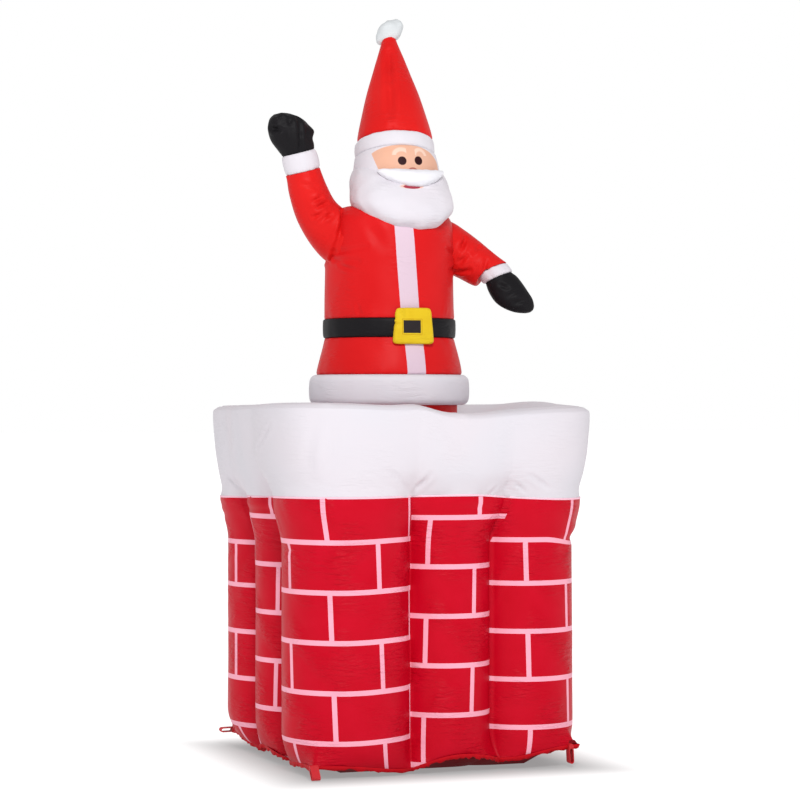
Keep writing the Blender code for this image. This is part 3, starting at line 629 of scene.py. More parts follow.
CAP_FOLDS = (
    ((-0.398, -0.235, 0.811), (-0.401, -0.172, 0.775), 0.006, 0.0051),
    ((-0.401, -0.172, 0.775), (-0.383, -0.084, 0.736), 0.006, 0.0051),
    ((-0.394, 0.182, 0.682), (-0.362, 0.133, 0.651), 0.005, 0.0051),
    ((-0.248, -0.388, 0.709), (-0.198, -0.382, 0.663), 0.005, 0.0044),
    ((-0.213, -0.391, 0.691), (-0.175, -0.378, 0.658), 0.004, 0.0044),
    ((-0.165, -0.391, 0.709), (-0.094, -0.340, 0.648), 0.006, 0.0054),
    ((-0.060, -0.372, 0.700), (-0.090, -0.345, 0.652), 0.006, 0.0044),
    ((0.186, -0.378, 0.694), (0.242, -0.365, 0.658), 0.005, 0.0041),
    ((0.147, -0.361, 0.686), (0.182, -0.356, 0.653), 0.004, 0.0041),
    ((0.006, -0.373, 0.833), (0.024, -0.389, 0.813), 0.005, 0.0058),
    ((0.110, -0.350, 0.680), (0.095, -0.345, 0.650), 0.006, 0.0037),
    ((-0.304, -0.354, 0.850), (-0.330, -0.360, 0.700), 0.013, -0.0068),
    ((0.380, -0.200, 0.690), (0.372, -0.150, 0.655), 0.005, 0.0044),
    ((0.384, 0.120, 0.700), (0.372, 0.170, 0.656), 0.005, 0.0044),
    ((0.120, 0.390, 0.700), (0.070, 0.372, 0.655), 0.005, 0.0048),
    ((-0.090, 0.392, 0.705), (-0.140, 0.385, 0.656), 0.006, 0.0048),
    ((0.330, 0.355, 0.840), (0.352, 0.360, 0.710), 0.012, -0.0059),
)


def plain_taffeta(name, first, second, roughness=0.44, wrinkle=0.4, scale=7.0, detail=2.0):
    """Taffeta of one colour, a little uneven."""
    cloth, tree, shader, place = taffeta(name, roughness, wrinkle)
    dye = blotched(tree, place, scale, detail, first, second)
    tree.links.new(dye, shader.inputs["Base Color"])
    return cloth


WHITE = ("d9d0d6", "d2d1d8")    # a faint pink and a faint grey over white: painted light that the red cloth around it throws on it


cap_rows = gather(make_cap_skin(), 0.0022, 11.0, top=False)
for point in cap_rows[RIM_SEAM_ROW]:
    point.z -= RIM_SEAM_DEPTH
snow_cap = grid_mesh("snow_cap_cloth", cap_rows, cloth_map(cap_rows))
press(snow_cap, CAP_FOLDS)
WHITE_CLOTH = plain_taffeta("white_taffeta", *WHITE, 0.5, 0.24, 5.0, 1.5)
finish_piece(snow_cap, WHITE_CLOTH, "white_cloth", "snow_cap")


# Where the white cloth is sewn to the print, the edges of both are turned in and stitched. The
# doubled edge shows as a thin pale pink line round the chimney.

EDGE_OUT = 0.0012
EDGE_HALF = 0.0022


def make_edge_line(seam):
    """A narrow band on a row of stitches, standing off it a little."""
    rows = [[], [], [], []]
    for point in seam:
        side = Vector((point.x - SANTA_X, point.y, 0.0)).normalized()
        for row, out, up in zip(rows, (-1, 1, 1, -1), (-1, -1, 1, 1)):
            row.append(point + side * (EDGE_OUT * out) + UP * (EDGE_HALF * up))
    return grid_mesh("cap_seam_edge", rows, lambda row, column, owner: (column * 0.008, row * 0.002),
                     caps=False)


finish_piece(make_edge_line(cap_rows[0]), one_colour_taffeta("pink_seam_edge", "f6c3d3", 0.55),
             "white_cloth", soft=False)


# Santa's body is one bag of cloth from the cap's panel to the collar. Its colours are sewn-in
# bands: a red stub, the white hem, the coat's skirt, the black belt and the upper coat, and a
# white strip runs down the front. Each band swells a little between its seams.

TURN_COUNT = 256

# Height and radius up each band; the coat is flatter from front to back, so it has two radii
BODY = {
    "trunk": ((0.8052, 0.1650), (0.8300, 0.1655), (0.8557, 0.1650)),
    "coat_hem": ((0.8560, 0.1790), (0.8590, 0.1865), (0.8660, 0.1925), (0.8780, 0.1945), (0.8925, 0.1950),
                 (0.9070, 0.1945), (0.9190, 0.1925), (0.9260, 0.1865), (0.9290, 0.1790)),
    "coat_skirt": ((0.9293, 0.1735), (0.9340, 0.1765), (0.9500, 0.1745), (0.9735, 0.1690), (1.0000, 0.1620),
                   (1.0140, 0.1580), (1.0178, 0.1560)),
    "belt": ((1.0181, 0.1560), (1.0195, 0.1595), (1.0240, 0.1612), (1.0410, 0.1620), (1.0580, 0.1612),
             (1.0625, 0.1595), (1.0640, 0.1560)),
}
COAT = ((1.0643, 0.1560, 0.1555), (1.0700, 0.1578, 0.1568), (1.0950, 0.1580, 0.1550),
        (1.1340, 0.1575, 0.1520), (1.1750, 0.1572, 0.1485), (1.2150, 0.1570, 0.1460),
        (1.2600, 0.1560, 0.1430), (1.2961, 0.1540, 0.1360), (1.3168, 0.1440, 0.1160),
        (1.3329, 0.1210, 0.0960), (1.3422, 0.0800, 0.0800))


def oval(centre, axis, across, wide, deep, count):
    """Points of an oval around an axis."""
    axis = axis.normalized()
    across = (across - axis * across.dot(axis)).normalized()
    along = axis.cross(across)
    return [centre + across * (wide * math.cos(2 * math.pi * k / count))
            + along * (deep * math.sin(2 * math.pi * k / count)) for k in range(count)]


BACK = Vector((0.0, 1.0, 0.0))
FORWARD = Vector((0.0, -1.0, 0.0))
SIDEWAYS = Vector((1.0, 0.0, 0.0))


def body_rows(sections, parts):
    """Level ovals on Santa's axis, counted from the middle of his back."""
    rings = []
    for section in sections:
        height, wide, deep = section if len(section) == 3 else (section[0], section[1], section[1])
        rings.append(oval(Vector((SANTA_X, 0.0, height)), UP, BACK, deep, wide, TURN_COUNT))
    return between(rings, parts)


STRIP_PLACES = ((0.93, -0.0205), (1.00, -0.0220), (1.09, -0.0306), (1.28, -0.0400))
STRIP_WIDTH = 0.047
STRIP_EDGE = 0.0006     # half the width over which its colour gives way to the red


def strip_map(rows):
    """Metres round the body from the middle of the white strip, and height."""
    heights = [row[0].z for row in rows]
    widths = [max(point.x for point in row) - SANTA_X for row in rows]
    levels = [place[0] for place in STRIP_PLACES]
    middles = [place[1] for place in STRIP_PLACES]

    def maps(row, column, owner):
        aside = float(np.interp(heights[row], levels, middles)) - SANTA_X
        turn = 2 * math.pi * column / TURN_COUNT - math.pi
        return widths[row] * turn - aside, heights[row]
    return maps


def coat_taffeta():
    """Bright red taffeta with the white front strip sewn in."""
    cloth, tree, shader, place = taffeta("coat_taffeta", roughness=0.44, wrinkle=0.35)
    aside = reckon(tree, "ABSOLUTE", apart(tree, place)[0])
    edge = STRIP_WIDTH / 2
    inside = ramp(tree, aside, edge - STRIP_EDGE, edge + STRIP_EDGE, 1.0, 0.0)
    red = blotched(tree, place, 7.0, 2.0, "c61013", "d31f21")
    # The white strip has a pink tint: painted light that the red coat around it throws on it
    tree.links.new(mix(tree, inside, red, linear("d3bbc9")), shader.inputs["Base Color"])
    return cloth


COAT_CLOTH = coat_taffeta()


RED_CLOTH = plain_taffeta("red_taffeta", "c81113", "d8221f")
BLACK_CLOTH = plain_taffeta("black_taffeta", "141315", "1f1d20", roughness=0.5)

for band, cloth, slot, parts, depth, seed in (
        ("trunk", RED_CLOTH, "red_cloth", 6, 0.0015, 21.0),
        ("coat_hem", WHITE_CLOTH, "white_cloth", [2, 2, 3, 4, 4, 3, 2, 2], 0.0020, 22.0),
        ("coat_skirt", COAT_CLOTH, "red_cloth", [2, 4, 5, 6, 3, 2], 0.0022, 23.0),
        ("belt", BLACK_CLOTH, "black_cloth", [2, 2, 4, 4, 2, 2], 0.0012, 24.0)):
    rows = gather(body_rows(BODY[band], parts), depth, seed)
    maps = strip_map(rows) if cloth is COAT_CLOTH else cloth_map(rows)
    finish_piece(grid_mesh(band + "_cloth", rows, maps), cloth, slot, band)

coat_rows = gather(body_rows(COAT, [3, 8, 12, 12, 12, 12, 10, 8, 6, 6]), 0.0026, 25.0)
coat = grid_mesh("coat_cloth", coat_rows, strip_map(coat_rows))
press(coat, (
    ((-0.180, -0.030, 1.206), (-0.140, -0.100, 1.198), 0.006, 0.0067),
    ((-0.176, -0.050, 1.222), (-0.125, -0.112, 1.232), 0.006, 0.0053),
    ((-0.173, -0.056, 1.192), (-0.150, -0.090, 1.180), 0.005, 0.0045),
    ((0.120, -0.055, 1.222), (0.085, -0.110, 1.232), 0.006, 0.0053),
    ((0.122, -0.040, 1.190), (0.095, -0.095, 1.180), 0.006, 0.0053),
    ((-0.120, -0.105, 1.290), (-0.090, -0.125, 1.240), 0.014, 0.0045),
    ((-0.185, 0.030, 1.210), (-0.150, 0.090, 1.204), 0.006, 0.0060),
    ((0.124, 0.045, 1.200), (0.095, 0.100, 1.206), 0.006, 0.0060),
    ((-0.060, 0.145, 1.250), (0.010, 0.150, 1.235), 0.008, 0.0030),
    ((-0.150, -0.105, 1.100), (-0.140, -0.110, 1.068), 0.005, 0.0030),
    ((0.080, -0.125, 1.100), (0.072, -0.130, 1.068), 0.005, 0.0030),
))
finish_piece(coat, COAT_CLOTH, "red_cloth", "coat")


# The buckle is a soft square of yellow taffeta over the middle of the belt, lightly filled, with
# a black patch sewn on for its window and a line of stitches round that.

BUCKLE_X = SANTA_X + 0.003
BUCKLE_Z = 1.0441
BUCKLE_HALF_WIDE = 0.048
BUCKLE_HALF_TALL = 0.043
BUCKLE_TAPER = 0.09     # narrower at the top, wider at the foot
BUCKLE_FRONT = 0.1755
BUCKLE_CORNERS = 11     # power of its outline, nearly a true square
BUCKLE_COUNT = 112
BELT_RADIUS = 0.1632    # where the cushion's back lies on the belt
WINDOW = (-0.0065, -0.0020, 0.0215, 0.0152)     # middle and half sizes


def inside_window(x, z, margin):
    """1 well inside the black patch, 0 outside, over a margin."""
    edge = min(WINDOW[2] - abs(x - WINDOW[0]), WINDOW[3] - abs(z - WINDOW[1]))
    return ease(edge, -margin, margin)


def make_buckle_cushion():
    """Rings from the back, round the filled edge and over the front to its middle."""
    rings = []
    steps = [(0.86, 0.0), (0.96, 0.06), (1.0, 0.30), (1.005, 0.55), (0.985, 0.78), (0.955, 0.91),
             (0.92, 0.975)]
    steps += [(0.88 - 0.03 * k, 1.0) for k in range(29)]
    for share, forward in steps:
        ring = []
        for k in range(BUCKLE_COUNT):
            turn = -2 * math.pi * k / BUCKLE_COUNT
            c, s = math.cos(turn), math.sin(turn)
            square = (abs(c) ** BUCKLE_CORNERS + abs(s) ** BUCKLE_CORNERS) ** (-1 / BUCKLE_CORNERS)
            z = BUCKLE_HALF_TALL * share * square * s
            x = BUCKLE_HALF_WIDE * share * square * c * (1 - BUCKLE_TAPER * z / BUCKLE_HALF_TALL)
            wide = BUCKLE_X + x - SANTA_X
            back = math.sqrt(BELT_RADIUS ** 2 - wide ** 2)
            front = BUCKLE_FRONT - 0.0035 * share ** 2 - 0.6 * x * x + 0.0008 * ripple(x * 60, z * 60, 31.0)
            front -= 0.0022 * inside_window(x, z, 0.0016)
            front -= 0.0012 * (inside_window(x, z, 0.0036) - inside_window(x, z, 0.0016))
            y = -(back + (front - back) * forward)
            ring.append(Vector((BUCKLE_X + x, y, BUCKLE_Z + z)))
        rings.append(ring)

    def maps(row, column, owner):
        point = rings[row][column % BUCKLE_COUNT]
        return point.x - BUCKLE_X, point.z - BUCKLE_Z
    return grid_mesh("buckle_cushion", rings, maps)


def buckle_taffeta():
    """Yellow taffeta with the black patch and the line of stitches round it."""
    cloth, tree, shader, place = taffeta("yellow_taffeta", roughness=0.46, wrinkle=0.4)
    edges = []
    for spot, middle, half in zip(apart(tree, place), WINDOW[:2], WINDOW[2:]):
        off = reckon(tree, "ABSOLUTE", reckon(tree, "SUBTRACT", spot, middle))
        edges.append(reckon(tree, "SUBTRACT", off, half))
    outside = reckon(tree, "MAXIMUM", *edges)
    patch = ramp(tree, outside, -0.0005, 0.0005, 1.0, 0.0)
    stitches = reckon(tree, "COMPARE", outside, 0.0030, 0.0006)
    yellow = blotched(tree, place, 16.0, 2.0, "d3ac18", "ddc12a")
    sewn = mix(tree, stitches, yellow, linear("b98a14"))
    tree.links.new(mix(tree, patch, sewn, linear("2c2728")), shader.inputs["Base Color"])
    return cloth


buckle = press(make_buckle_cushion(), (
    ((-0.0590, -0.1720, 1.0890), (-0.0520, -0.1745, 1.0690), 0.0035, 0.0030),
    ((-0.0790, -0.1660, 1.0580), (-0.0650, -0.1715, 1.0540), 0.0040, 0.0040),
    ((-0.0640, -0.1720, 1.0760), (-0.0700, -0.1700, 1.0640), 0.0040, -0.0016),
))
finish_piece(buckle, buckle_taffeta(), "yellow_cloth", "buckle")


# The sleeves are tubes of red taffeta set into the coat below the shoulder. His right arm is
# bent up to wave, and his left one hangs out and down. The cloth gathers where the arm bends.

# Middle and radius of each ring, from the shoulder to the wrist
RIGHT_SLEEVE = (((-0.110, 0.000, 1.236), 0.0600), ((-0.150, 0.000, 1.254), 0.0630),
                ((-0.182, -0.002, 1.281), 0.0590), ((-0.216, -0.005, 1.322), 0.0515),
                ((-0.237, -0.010, 1.368), 0.0465), ((-0.252, -0.012, 1.4165), 0.0415))
LEFT_SLEEVE = (((0.070, 0.000, 1.258), 0.0560), ((0.110, 0.000, 1.250), 0.0600),
               ((0.140, -0.004, 1.235), 0.0565), ((0.173, -0.020, 1.212), 0.0515),
               ((0.203, -0.037, 1.191), 0.0465), ((0.2210, -0.050, 1.1890), 0.0385))
RIGHT_WRIST = Vector(RIGHT_SLEEVE[-1][0])
LEFT_WRIST = Vector(LEFT_SLEEVE[-1][0])
RIGHT_CUFF_END = Vector((-0.2645, -0.014, 1.4620))
LEFT_CUFF_END = Vector((0.2355, -0.058, 1.1670))
RIGHT_CUFF_FACES = Vector((-0.264, -0.042, 0.963)).normalized()
LEFT_CUFF_FACES = Vector((0.340, -0.230, -0.912)).normalized()

# Each fold runs from one point to another, with its half width and depth
RIGHT_SLEEVE_FOLDS = (
    ((-0.1636, -0.0384, 1.3248), (-0.1656, -0.0556, 1.2996), 0.006, 0.0084),
    ((-0.1656, -0.0556, 1.2996), (-0.1746, -0.0607, 1.2682), 0.006, 0.0092),
    ((-0.1746, -0.0607, 1.2682), (-0.1830, -0.0428, 1.2247), 0.006, 0.0084),
    ((-0.1830, -0.0428, 1.2247), (-0.1833, -0.0161, 1.1950), 0.005, 0.0067),
    ((-0.2406, -0.0542, 1.3424), (-0.2195, -0.0548, 1.3532), 0.0045, 0.0063),
    ((-0.2305, -0.0547, 1.3292), (-0.2048, -0.0530, 1.3396), 0.0045, 0.0071),
    ((-0.2385, -0.0477, 1.3056), (-0.2160, -0.0558, 1.3121), 0.0045, 0.0063),
    ((-0.2202, -0.0540, 1.2984), (-0.1957, -0.0560, 1.3133), 0.0045, 0.0071),
    ((-0.2659, -0.0479, 1.3837), (-0.2331, -0.0548, 1.3769), 0.0045, 0.0050),
)
LEFT_SLEEVE_FOLDS = (
    ((0.1368, -0.0613, 1.2367), (0.1529, -0.0510, 1.2635), 0.005, 0.0071),
    ((0.1650, -0.0640, 1.2230), (0.1836, -0.0597, 1.2416), 0.005, 0.0063),
    ((0.1327, -0.0558, 1.2043), (0.1520, -0.0620, 1.2180), 0.005, 0.0071),
    ((0.1312, -0.0326, 1.1809), (0.1584, -0.0636, 1.1848), 0.005, 0.0071),
    ((0.1960, -0.0780, 1.2100), (0.1880, -0.0800, 1.1800), 0.005, 0.0055),
)


def limb_rows(stations, last_way, parts, count=96):
    """Rings along an arm, from the shoulder out."""
    middles = [Vector(middle) for middle, radius in stations]
    rings = []
    for i, (middle, radius) in enumerate(stations):
        if i == 0:
            axis = middles[1] - middles[0]
        elif i == len(stations) - 1:
            axis = last_way
        else:
            axis = middles[i + 1] - middles[i - 1]
        rings.append(oval(middles[i], axis, FORWARD, radius, radius, count))
    return between(rings, parts)


def trim(piece, *others):
    """Cut a piece where its neighbours are."""
    for other in others:
        cut = piece.modifiers.new("trim", "BOOLEAN")
        cut.operation = "DIFFERENCE"
        cut.solver = "EXACT"
        cut.object = other
    bpy.context.view_layer.update()
    shaped = bpy.data.meshes.new_from_object(piece.evaluated_get(bpy.context.evaluated_depsgraph_get()))
    piece.modifiers.clear()
    piece.data = shaped
    shaped.set_sharp_from_angle(angle=math.radians(50))
    return piece


for side, stations, faces, folds, seed in (
        ("right", RIGHT_SLEEVE, RIGHT_CUFF_FACES, RIGHT_SLEEVE_FOLDS, 41.0),
        ("left", LEFT_SLEEVE, LEFT_CUFF_FACES, LEFT_SLEEVE_FOLDS, 42.0)):
    rows = limb_rows(stations, faces, [10, 16, 18, 18, 16])
    rows = gather(rows, 0.0026, seed, reach=0.012, foot=False, pitch=0.012)
    sleeve = press(grid_mesh("sleeve_" + side + "_cloth", rows, cloth_map(rows)), folds)
    finish_piece(trim(sleeve, coat), RED_CLOTH, "red_cloth", "sleeve_" + side)


# Each cuff is a short ring of white taffeta, sewn to the sleeve at one end and to the glove at
# the other. The air puffs it out between the two seams.

def puffed_ring(foot, end, faces, radius, count=96):
    """Rings of a band whose edges are pulled in by its seams."""
    rings = []
    for share, swell in ((0.0, 0.93), (0.06, 0.99), (0.16, 1.03), (0.34, 1.05), (0.5, 1.055), (0.66, 1.05),
                         (0.84, 1.03), (0.94, 0.99), (1.0, 0.93)):
        rings.append(oval(foot.lerp(end, share), faces, FORWARD, radius * swell, radius * swell, count))
    return rings


for side, wrist, cuff_end, faces, radius in (
        ("right", RIGHT_WRIST, RIGHT_CUFF_END, RIGHT_CUFF_FACES, 0.0415),
        ("left", LEFT_WRIST, LEFT_CUFF_END, LEFT_CUFF_FACES, 0.0370)):
    rows = between(puffed_ring(wrist + faces * SEWN, cuff_end - faces * SEWN, faces, radius), 3)
    rows = gather(rows, 0.0022, 45.0, reach=0.010, pitch=0.010)
    cuff = grid_mesh("cuff_" + side + "_cloth", rows, cloth_map(rows))
    finish_piece(cuff, WHITE_CLOTH, "white_cloth", "cuff_" + side)


# The gloves are mittens of black taffeta. The raised one is spread, with its thumb towards the
# head, and a seam pulls the cloth in between the thumb and the fingers.

# Share of the length, shift sideways and forward, width and depth in wrist radii
RIGHT_MITTEN = ((0.0, 0.0, 0.0, 1.0, 0.80), (0.157, 0.002, 0.0, 1.14, 0.90),
                (0.392, 0.006, 0.0, 1.30, 0.95), (0.588, 0.010, 0.0, 1.26, 0.92),
                (0.765, 0.016, 0.0, 1.04, 0.80), (0.922, 0.023, 0.0, 0.66, 0.56),
                (1.0, 0.026, 0.0, 0.28, 0.24))
LEFT_MITTEN = ((0.0, 0.0, 0.0, 1.0, 0.85), (0.164, -0.001, 0.0, 1.14, 0.95),
               (0.382, -0.002, 0.002, 1.17, 0.92), (0.600, 0.001, 0.004, 1.04, 0.80),
               (0.800, 0.007, 0.006, 0.80, 0.60), (0.945, 0.012, 0.007, 0.43, 0.34),
               (1.0, 0.014, 0.007, 0.14, 0.14))
MITTEN_TURN = 0.3       # share of a mitten over which it turns from the cuff's way to its own

# A fold with a depth below zero is a bump, such as a knuckle or the end of the thumb
RIGHT_GLOVE_FOLDS = (
    ((-0.2737, -0.0409, 1.5394), (-0.2725, -0.0527, 1.5000), 0.0055, 0.0075),
    ((-0.2725, -0.0527, 1.5000), (-0.2707, -0.0470, 1.4648), 0.0050, 0.0054),
    ((-0.3390, -0.0290, 1.5166), (-0.3220, -0.0440, 1.5120), 0.0055, 0.0090),
    ((-0.3291, -0.0341, 1.5404), (-0.3200, -0.0420, 1.5360), 0.0070, -0.0051),
    ((-0.3137, -0.0327, 1.5507), (-0.3060, -0.0420, 1.5450), 0.0070, -0.0051),
    ((-0.2982, -0.0473, 1.5354), (-0.2968, -0.0508, 1.5256), 0.0045, 0.0036),
    ((-0.3112, -0.0490, 1.5110), (-0.3022, -0.0439, 1.4760), 0.0050, 0.0030),
    ((-0.2350, -0.0200, 1.5150), (-0.2450, -0.0350, 1.5050), 0.0090, -0.0075),
)
LEFT_GLOVE_FOLDS = (
    ((0.2257, -0.0922, 1.1481), (0.2410, -0.0998, 1.1407), 0.0045, 0.0039),
    ((0.2429, -0.1015, 1.1212), (0.2736, -0.1035, 1.1362), 0.0050, 0.0039),
    ((0.2598, -0.1052, 1.1042), (0.2845, -0.1090, 1.1117), 0.0050, 0.0042),
)


def mitten_rows(start, way, faces, wrist, length, stations, parts, count=96):
    """Rings from the cuff to the finger tips."""
    aside = FORWARD.cross(way).normalized()
    rings = []
    for share, sideways, forward, wide, deep in stations:
        centre = start + way * (length * share) + aside * sideways + FORWARD * forward
        axis = faces.lerp(way, min(share / MITTEN_TURN, 1.0))
        rings.append(oval(centre, axis, FORWARD.cross(axis), wide * wrist, deep * wrist, count))
    return between(rings, parts)


for side, wrist, cuff_end, faces, mitten, wrist_radius, length, folds in (
        ("right", RIGHT_WRIST, RIGHT_CUFF_END, RIGHT_CUFF_FACES, RIGHT_MITTEN, 0.0400, 0.102,
         RIGHT_GLOVE_FOLDS),
        ("left", LEFT_WRIST, LEFT_CUFF_END, LEFT_CUFF_FACES, LEFT_MITTEN, 0.0350, 0.112,
         LEFT_GLOVE_FOLDS)):
    way = (cuff_end - wrist).normalized()
    rows = mitten_rows(cuff_end + faces * SEWN, way, faces, wrist_radius, length, mitten,
                       [10, 12, 12, 12, 10, 6])
    rows = gather(rows, 0.0020, 47.0, reach=0.010, pitch=0.012, top=False)
    glove = press(grid_mesh("glove_" + side + "_cloth", rows, cloth_map(rows)), folds)
    finish_piece(glove, BLACK_CLOTH, "black_cloth", "glove_" + side)


# The head is a ball of taffeta printed with a plain doll's face: a skin-coloured patch, two dots
# for eyes, pale strokes for brows and a short line for a nose. White cloth is round the patch.

HEAD_X = -0.0155
HEAD_FOOT = 1.3425
HEAD_HEIGHT = 0.112
HEAD_RADIUS = 0.105
HEAD_FORWARD = 0.014
HEAD_TOP = HEAD_FOOT + HEAD_HEIGHT
HEAD_COUNT = 128        # points round the head and the hat
HAT_AXIS = Vector((math.sin(math.radians(2.3)), math.sin(math.radians(15.0)), 1.0))
HAT_AXIS.z = math.sqrt(1.0 - HAT_AXIS.x ** 2 - HAT_AXIS.y ** 2)
HAT_FOOT = Vector((HEAD_X, -HEAD_FORWARD / 2, HEAD_TOP))


def head_rows():
    """Rings from the collar to the hat, which tip back with it."""
    rings = []
    for share, swell in ((0.0, 0.72), (0.14, 0.87), (0.34, 0.97), (0.56, 1.0), (0.80, 0.985), (1.0, 0.945)):
        forward = HEAD_FORWARD * math.sin(math.pi * share) + HEAD_FORWARD * 0.5 * share
        centre = Vector((HEAD_X, -forward, HEAD_FOOT + HEAD_HEIGHT * share))
        radius = HEAD_RADIUS * swell
        rings.append(oval(centre, UP.lerp(HAT_AXIS, share), BACK, radius, radius, HEAD_COUNT))
    return between(rings, [7, 8, 9, 9, 8])


def face_map(rows):
    """Metres round the head from the middle of the face, and height."""
    def maps(row, column, owner):
        point = rows[row][column % HEAD_COUNT]
        return HEAD_RADIUS * (2 * math.pi * column / HEAD_COUNT - math.pi), point.z
    return maps


def disc(tree, place, x, z, wide, tall, soft):
    """A mask for an oval print at a place on the face."""
    shifted = add(tree, "ShaderNodeMapping", None,
                  {"Vector": place, "Location": (-x / wide, -z / tall, 0.0),
                   "Scale": (1 / wide, 1 / tall, 0.0)})
    length = add(tree, "ShaderNodeVectorMath", {"operation": "LENGTH"}, {0: shifted.outputs["Vector"]})
    return ramp(tree, length.outputs["Value"], 1 - soft, 1 + soft, 1.0, 0.0)


def arc(tree, place, x, z, wide, tall, stroke, reach):
    """A mask for a printed stroke: the upper rim of an oval, from one side to the other of its reach."""
    outer = disc(tree, place, x, z, wide, tall, 0.08)
    inner = disc(tree, place, x, z, wide - stroke, tall - stroke, 0.10)
    rim = reckon(tree, "MAXIMUM", reckon(tree, "SUBTRACT", outer, inner), 0.0)
    aside, up = apart(tree, place)
    upper = reckon(tree, "GREATER_THAN", up, z)
    within = reckon(tree, "COMPARE", aside, (reach[0] + reach[1]) / 2, (reach[1] - reach[0]) / 2)
    return reckon(tree, "MULTIPLY", rim, reckon(tree, "MULTIPLY", upper, within))


# The skin's edge beside the nearer cheek slants in towards the moustache
CHEEK_SLANT = 0.48
CHEEK_EDGE = -0.082 + CHEEK_SLANT * 1.4225


def face_taffeta():
    """White taffeta printed with the face."""
    cloth, tree, shader, place = taffeta("face_print_taffeta", roughness=0.5, wrinkle=0.25)
    white = blotched(tree, place, 12.0, 2.0, *WHITE)
    skin = blotched(tree, place, 12.0, 2.0, "e0a88c", "d9ae99")
    aside, up = apart(tree, place)
    cheek = reckon(tree, "GREATER_THAN", reckon(tree, "MULTIPLY_ADD", up, CHEEK_SLANT, aside), CHEEK_EDGE)
    patch = reckon(tree, "MULTIPLY", disc(tree, place, -0.012, 1.425, 0.112, 0.056, 0.012), cheek)
    colour = mix(tree, patch, white, skin)
    for x, wide, stroke, reach in ((-0.0215, 0.0240, 0.0100, (-0.0460, -0.0095)),
                                   (0.0270, 0.0200, 0.0085, (0.0130, 0.0480))):
        brow = arc(tree, place, x, 1.4550, wide, 0.0190, stroke, reach)
        colour = mix(tree, brow, colour, linear("e8c6b4"))
    for x, z in ((-0.0215, 1.4409), (0.0205, 1.4423)):
        eye = disc(tree, place, x, z, 0.0106, 0.0106, 0.06)
        colour = mix(tree, eye, colour, linear("30161a"))
    nose = arc(tree, place, 0.0043, 1.4165, 0.0120, 0.0085, 0.0034, (-0.008, 0.017))
    colour = mix(tree, nose, colour, linear("a85f58"))
    tree.links.new(colour, shader.inputs["Base Color"])
    return cloth


rows = gather(head_rows(), 0.0014, 51.0)
head = grid_mesh("head_cloth", rows, face_map(rows))
finish_piece(head, face_taffeta(), "face_print", "head")


# The beard is a filled cushion of white taffeta from cheek to cheek, which juts out over the
# chest. The moustache is a smaller one over it, thin at its tips, and the mouth shows between.

def filled_ball(name, centre, half_sizes, fullness, bend, across=96, tall=64):
    """Rings of a filled ball drawn out to three half sizes, foot to top, then bent."""
    rows = []
    for r in range(1, tall):
        polar = math.pi * r / tall
        row = []
        for k in range(across):
            turn = 2 * math.pi * k / across
            level = math.sin(polar)
            unit = Vector((level * math.cos(turn), level * math.sin(turn), -math.cos(polar)))
            unit /= sum(abs(c) ** fullness for c in unit) ** (1 / fullness)
            offset = Vector((unit.x * half_sizes[0], unit.y * half_sizes[1], unit.z * half_sizes[2]))
            row.append(bend(offset) + centre)
        rows.append(row)
    return grid_mesh(name, rows, cloth_map(rows))


def roughen(piece, depth, pitch, seed):
    """Let the surface of a piece rise and fall a little."""
    for vert in piece.data.vertices:
        vert.co += vert.normal * (depth * noise.noise(vert.co / pitch + Vector((seed, 0.0, 0.0))))
    return piece


BEARD_HALF_SIZES = (0.124, 0.100, 0.078)
CHEEK_CLIMB = 0.034
BEARD_LEAN = 0.05
BEARD_TAPER = 0.17


def beard_bend(offset):
    """The beard hangs forward the lower it gets, and its ends climb the cheeks to the hat."""
    climb = CHEEK_CLIMB * ease(abs(offset.x), 0.050, 0.100) * ease(offset.z, 0.0, 0.070)
    taper = offset.x * BEARD_TAPER * ease(-offset.z, 0.0, BEARD_HALF_SIZES[2])
    lean = SIDEWAYS * (BEARD_LEAN * max(-offset.z, 0.0) - taper)
    return offset + FORWARD * (-offset.z * 0.45 - climb * 0.5) + UP * climb + lean


def make_beard():
    """The whole cushion, before it is cut where the coat and the head are."""
    middle = Vector((HEAD_X, -0.056, HEAD_FOOT + 0.006))
    ball = filled_ball("beard_cushion", middle, BEARD_HALF_SIZES, 2.4, beard_bend)
    return roughen(ball, 0.0035, 0.035, 55.0)


def beard_taffeta():
    """White taffeta with the mouth printed on it, just under the moustache."""
    cloth, tree, shader, place = taffeta("white_beard_taffeta", roughness=0.5, wrinkle=0.35)
    spot = add(tree, "ShaderNodeSeparateXYZ", None,
               {"Vector": add(tree, "ShaderNodeTexCoord").outputs["Object"]})
    flat = add(tree, "ShaderNodeCombineXYZ", None,
               {"X": spot.outputs["X"], "Y": spot.outputs["Z"]}).outputs["Vector"]
    lip = disc(tree, flat, -0.0195, 1.3775, 0.0290, 0.0058, 0.10)
    mouth = disc(tree, flat, -0.0200, 1.3770, 0.0215, 0.0052, 0.06)
    colour = mix(tree, lip, blotched(tree, place, 7.0, 2.0, *WHITE), linear("e3b9aa"))
    colour = mix(tree, mouth, colour, linear("a03a4a"))
    tree.links.new(colour, shader.inputs["Base Color"])
    return cloth


beard = trim(make_beard(), coat, head)
finish_piece(beard, beard_taffeta(), "white_cloth", "beard")


MOUSTACHE_HALF_SIZES = (0.084, 0.029, 0.0220)


def moustache_bend(offset):
    """The moustache wraps back round the head, and its middle hangs lower than its tips."""
    share = abs(offset.x) / MOUSTACHE_HALF_SIZES[0]
    thin = 1 - 0.42 * share ** 2
    return Vector((offset.x, offset.y * thin + 0.022 * share ** 2, offset.z * thin + 0.018 * share ** 2))


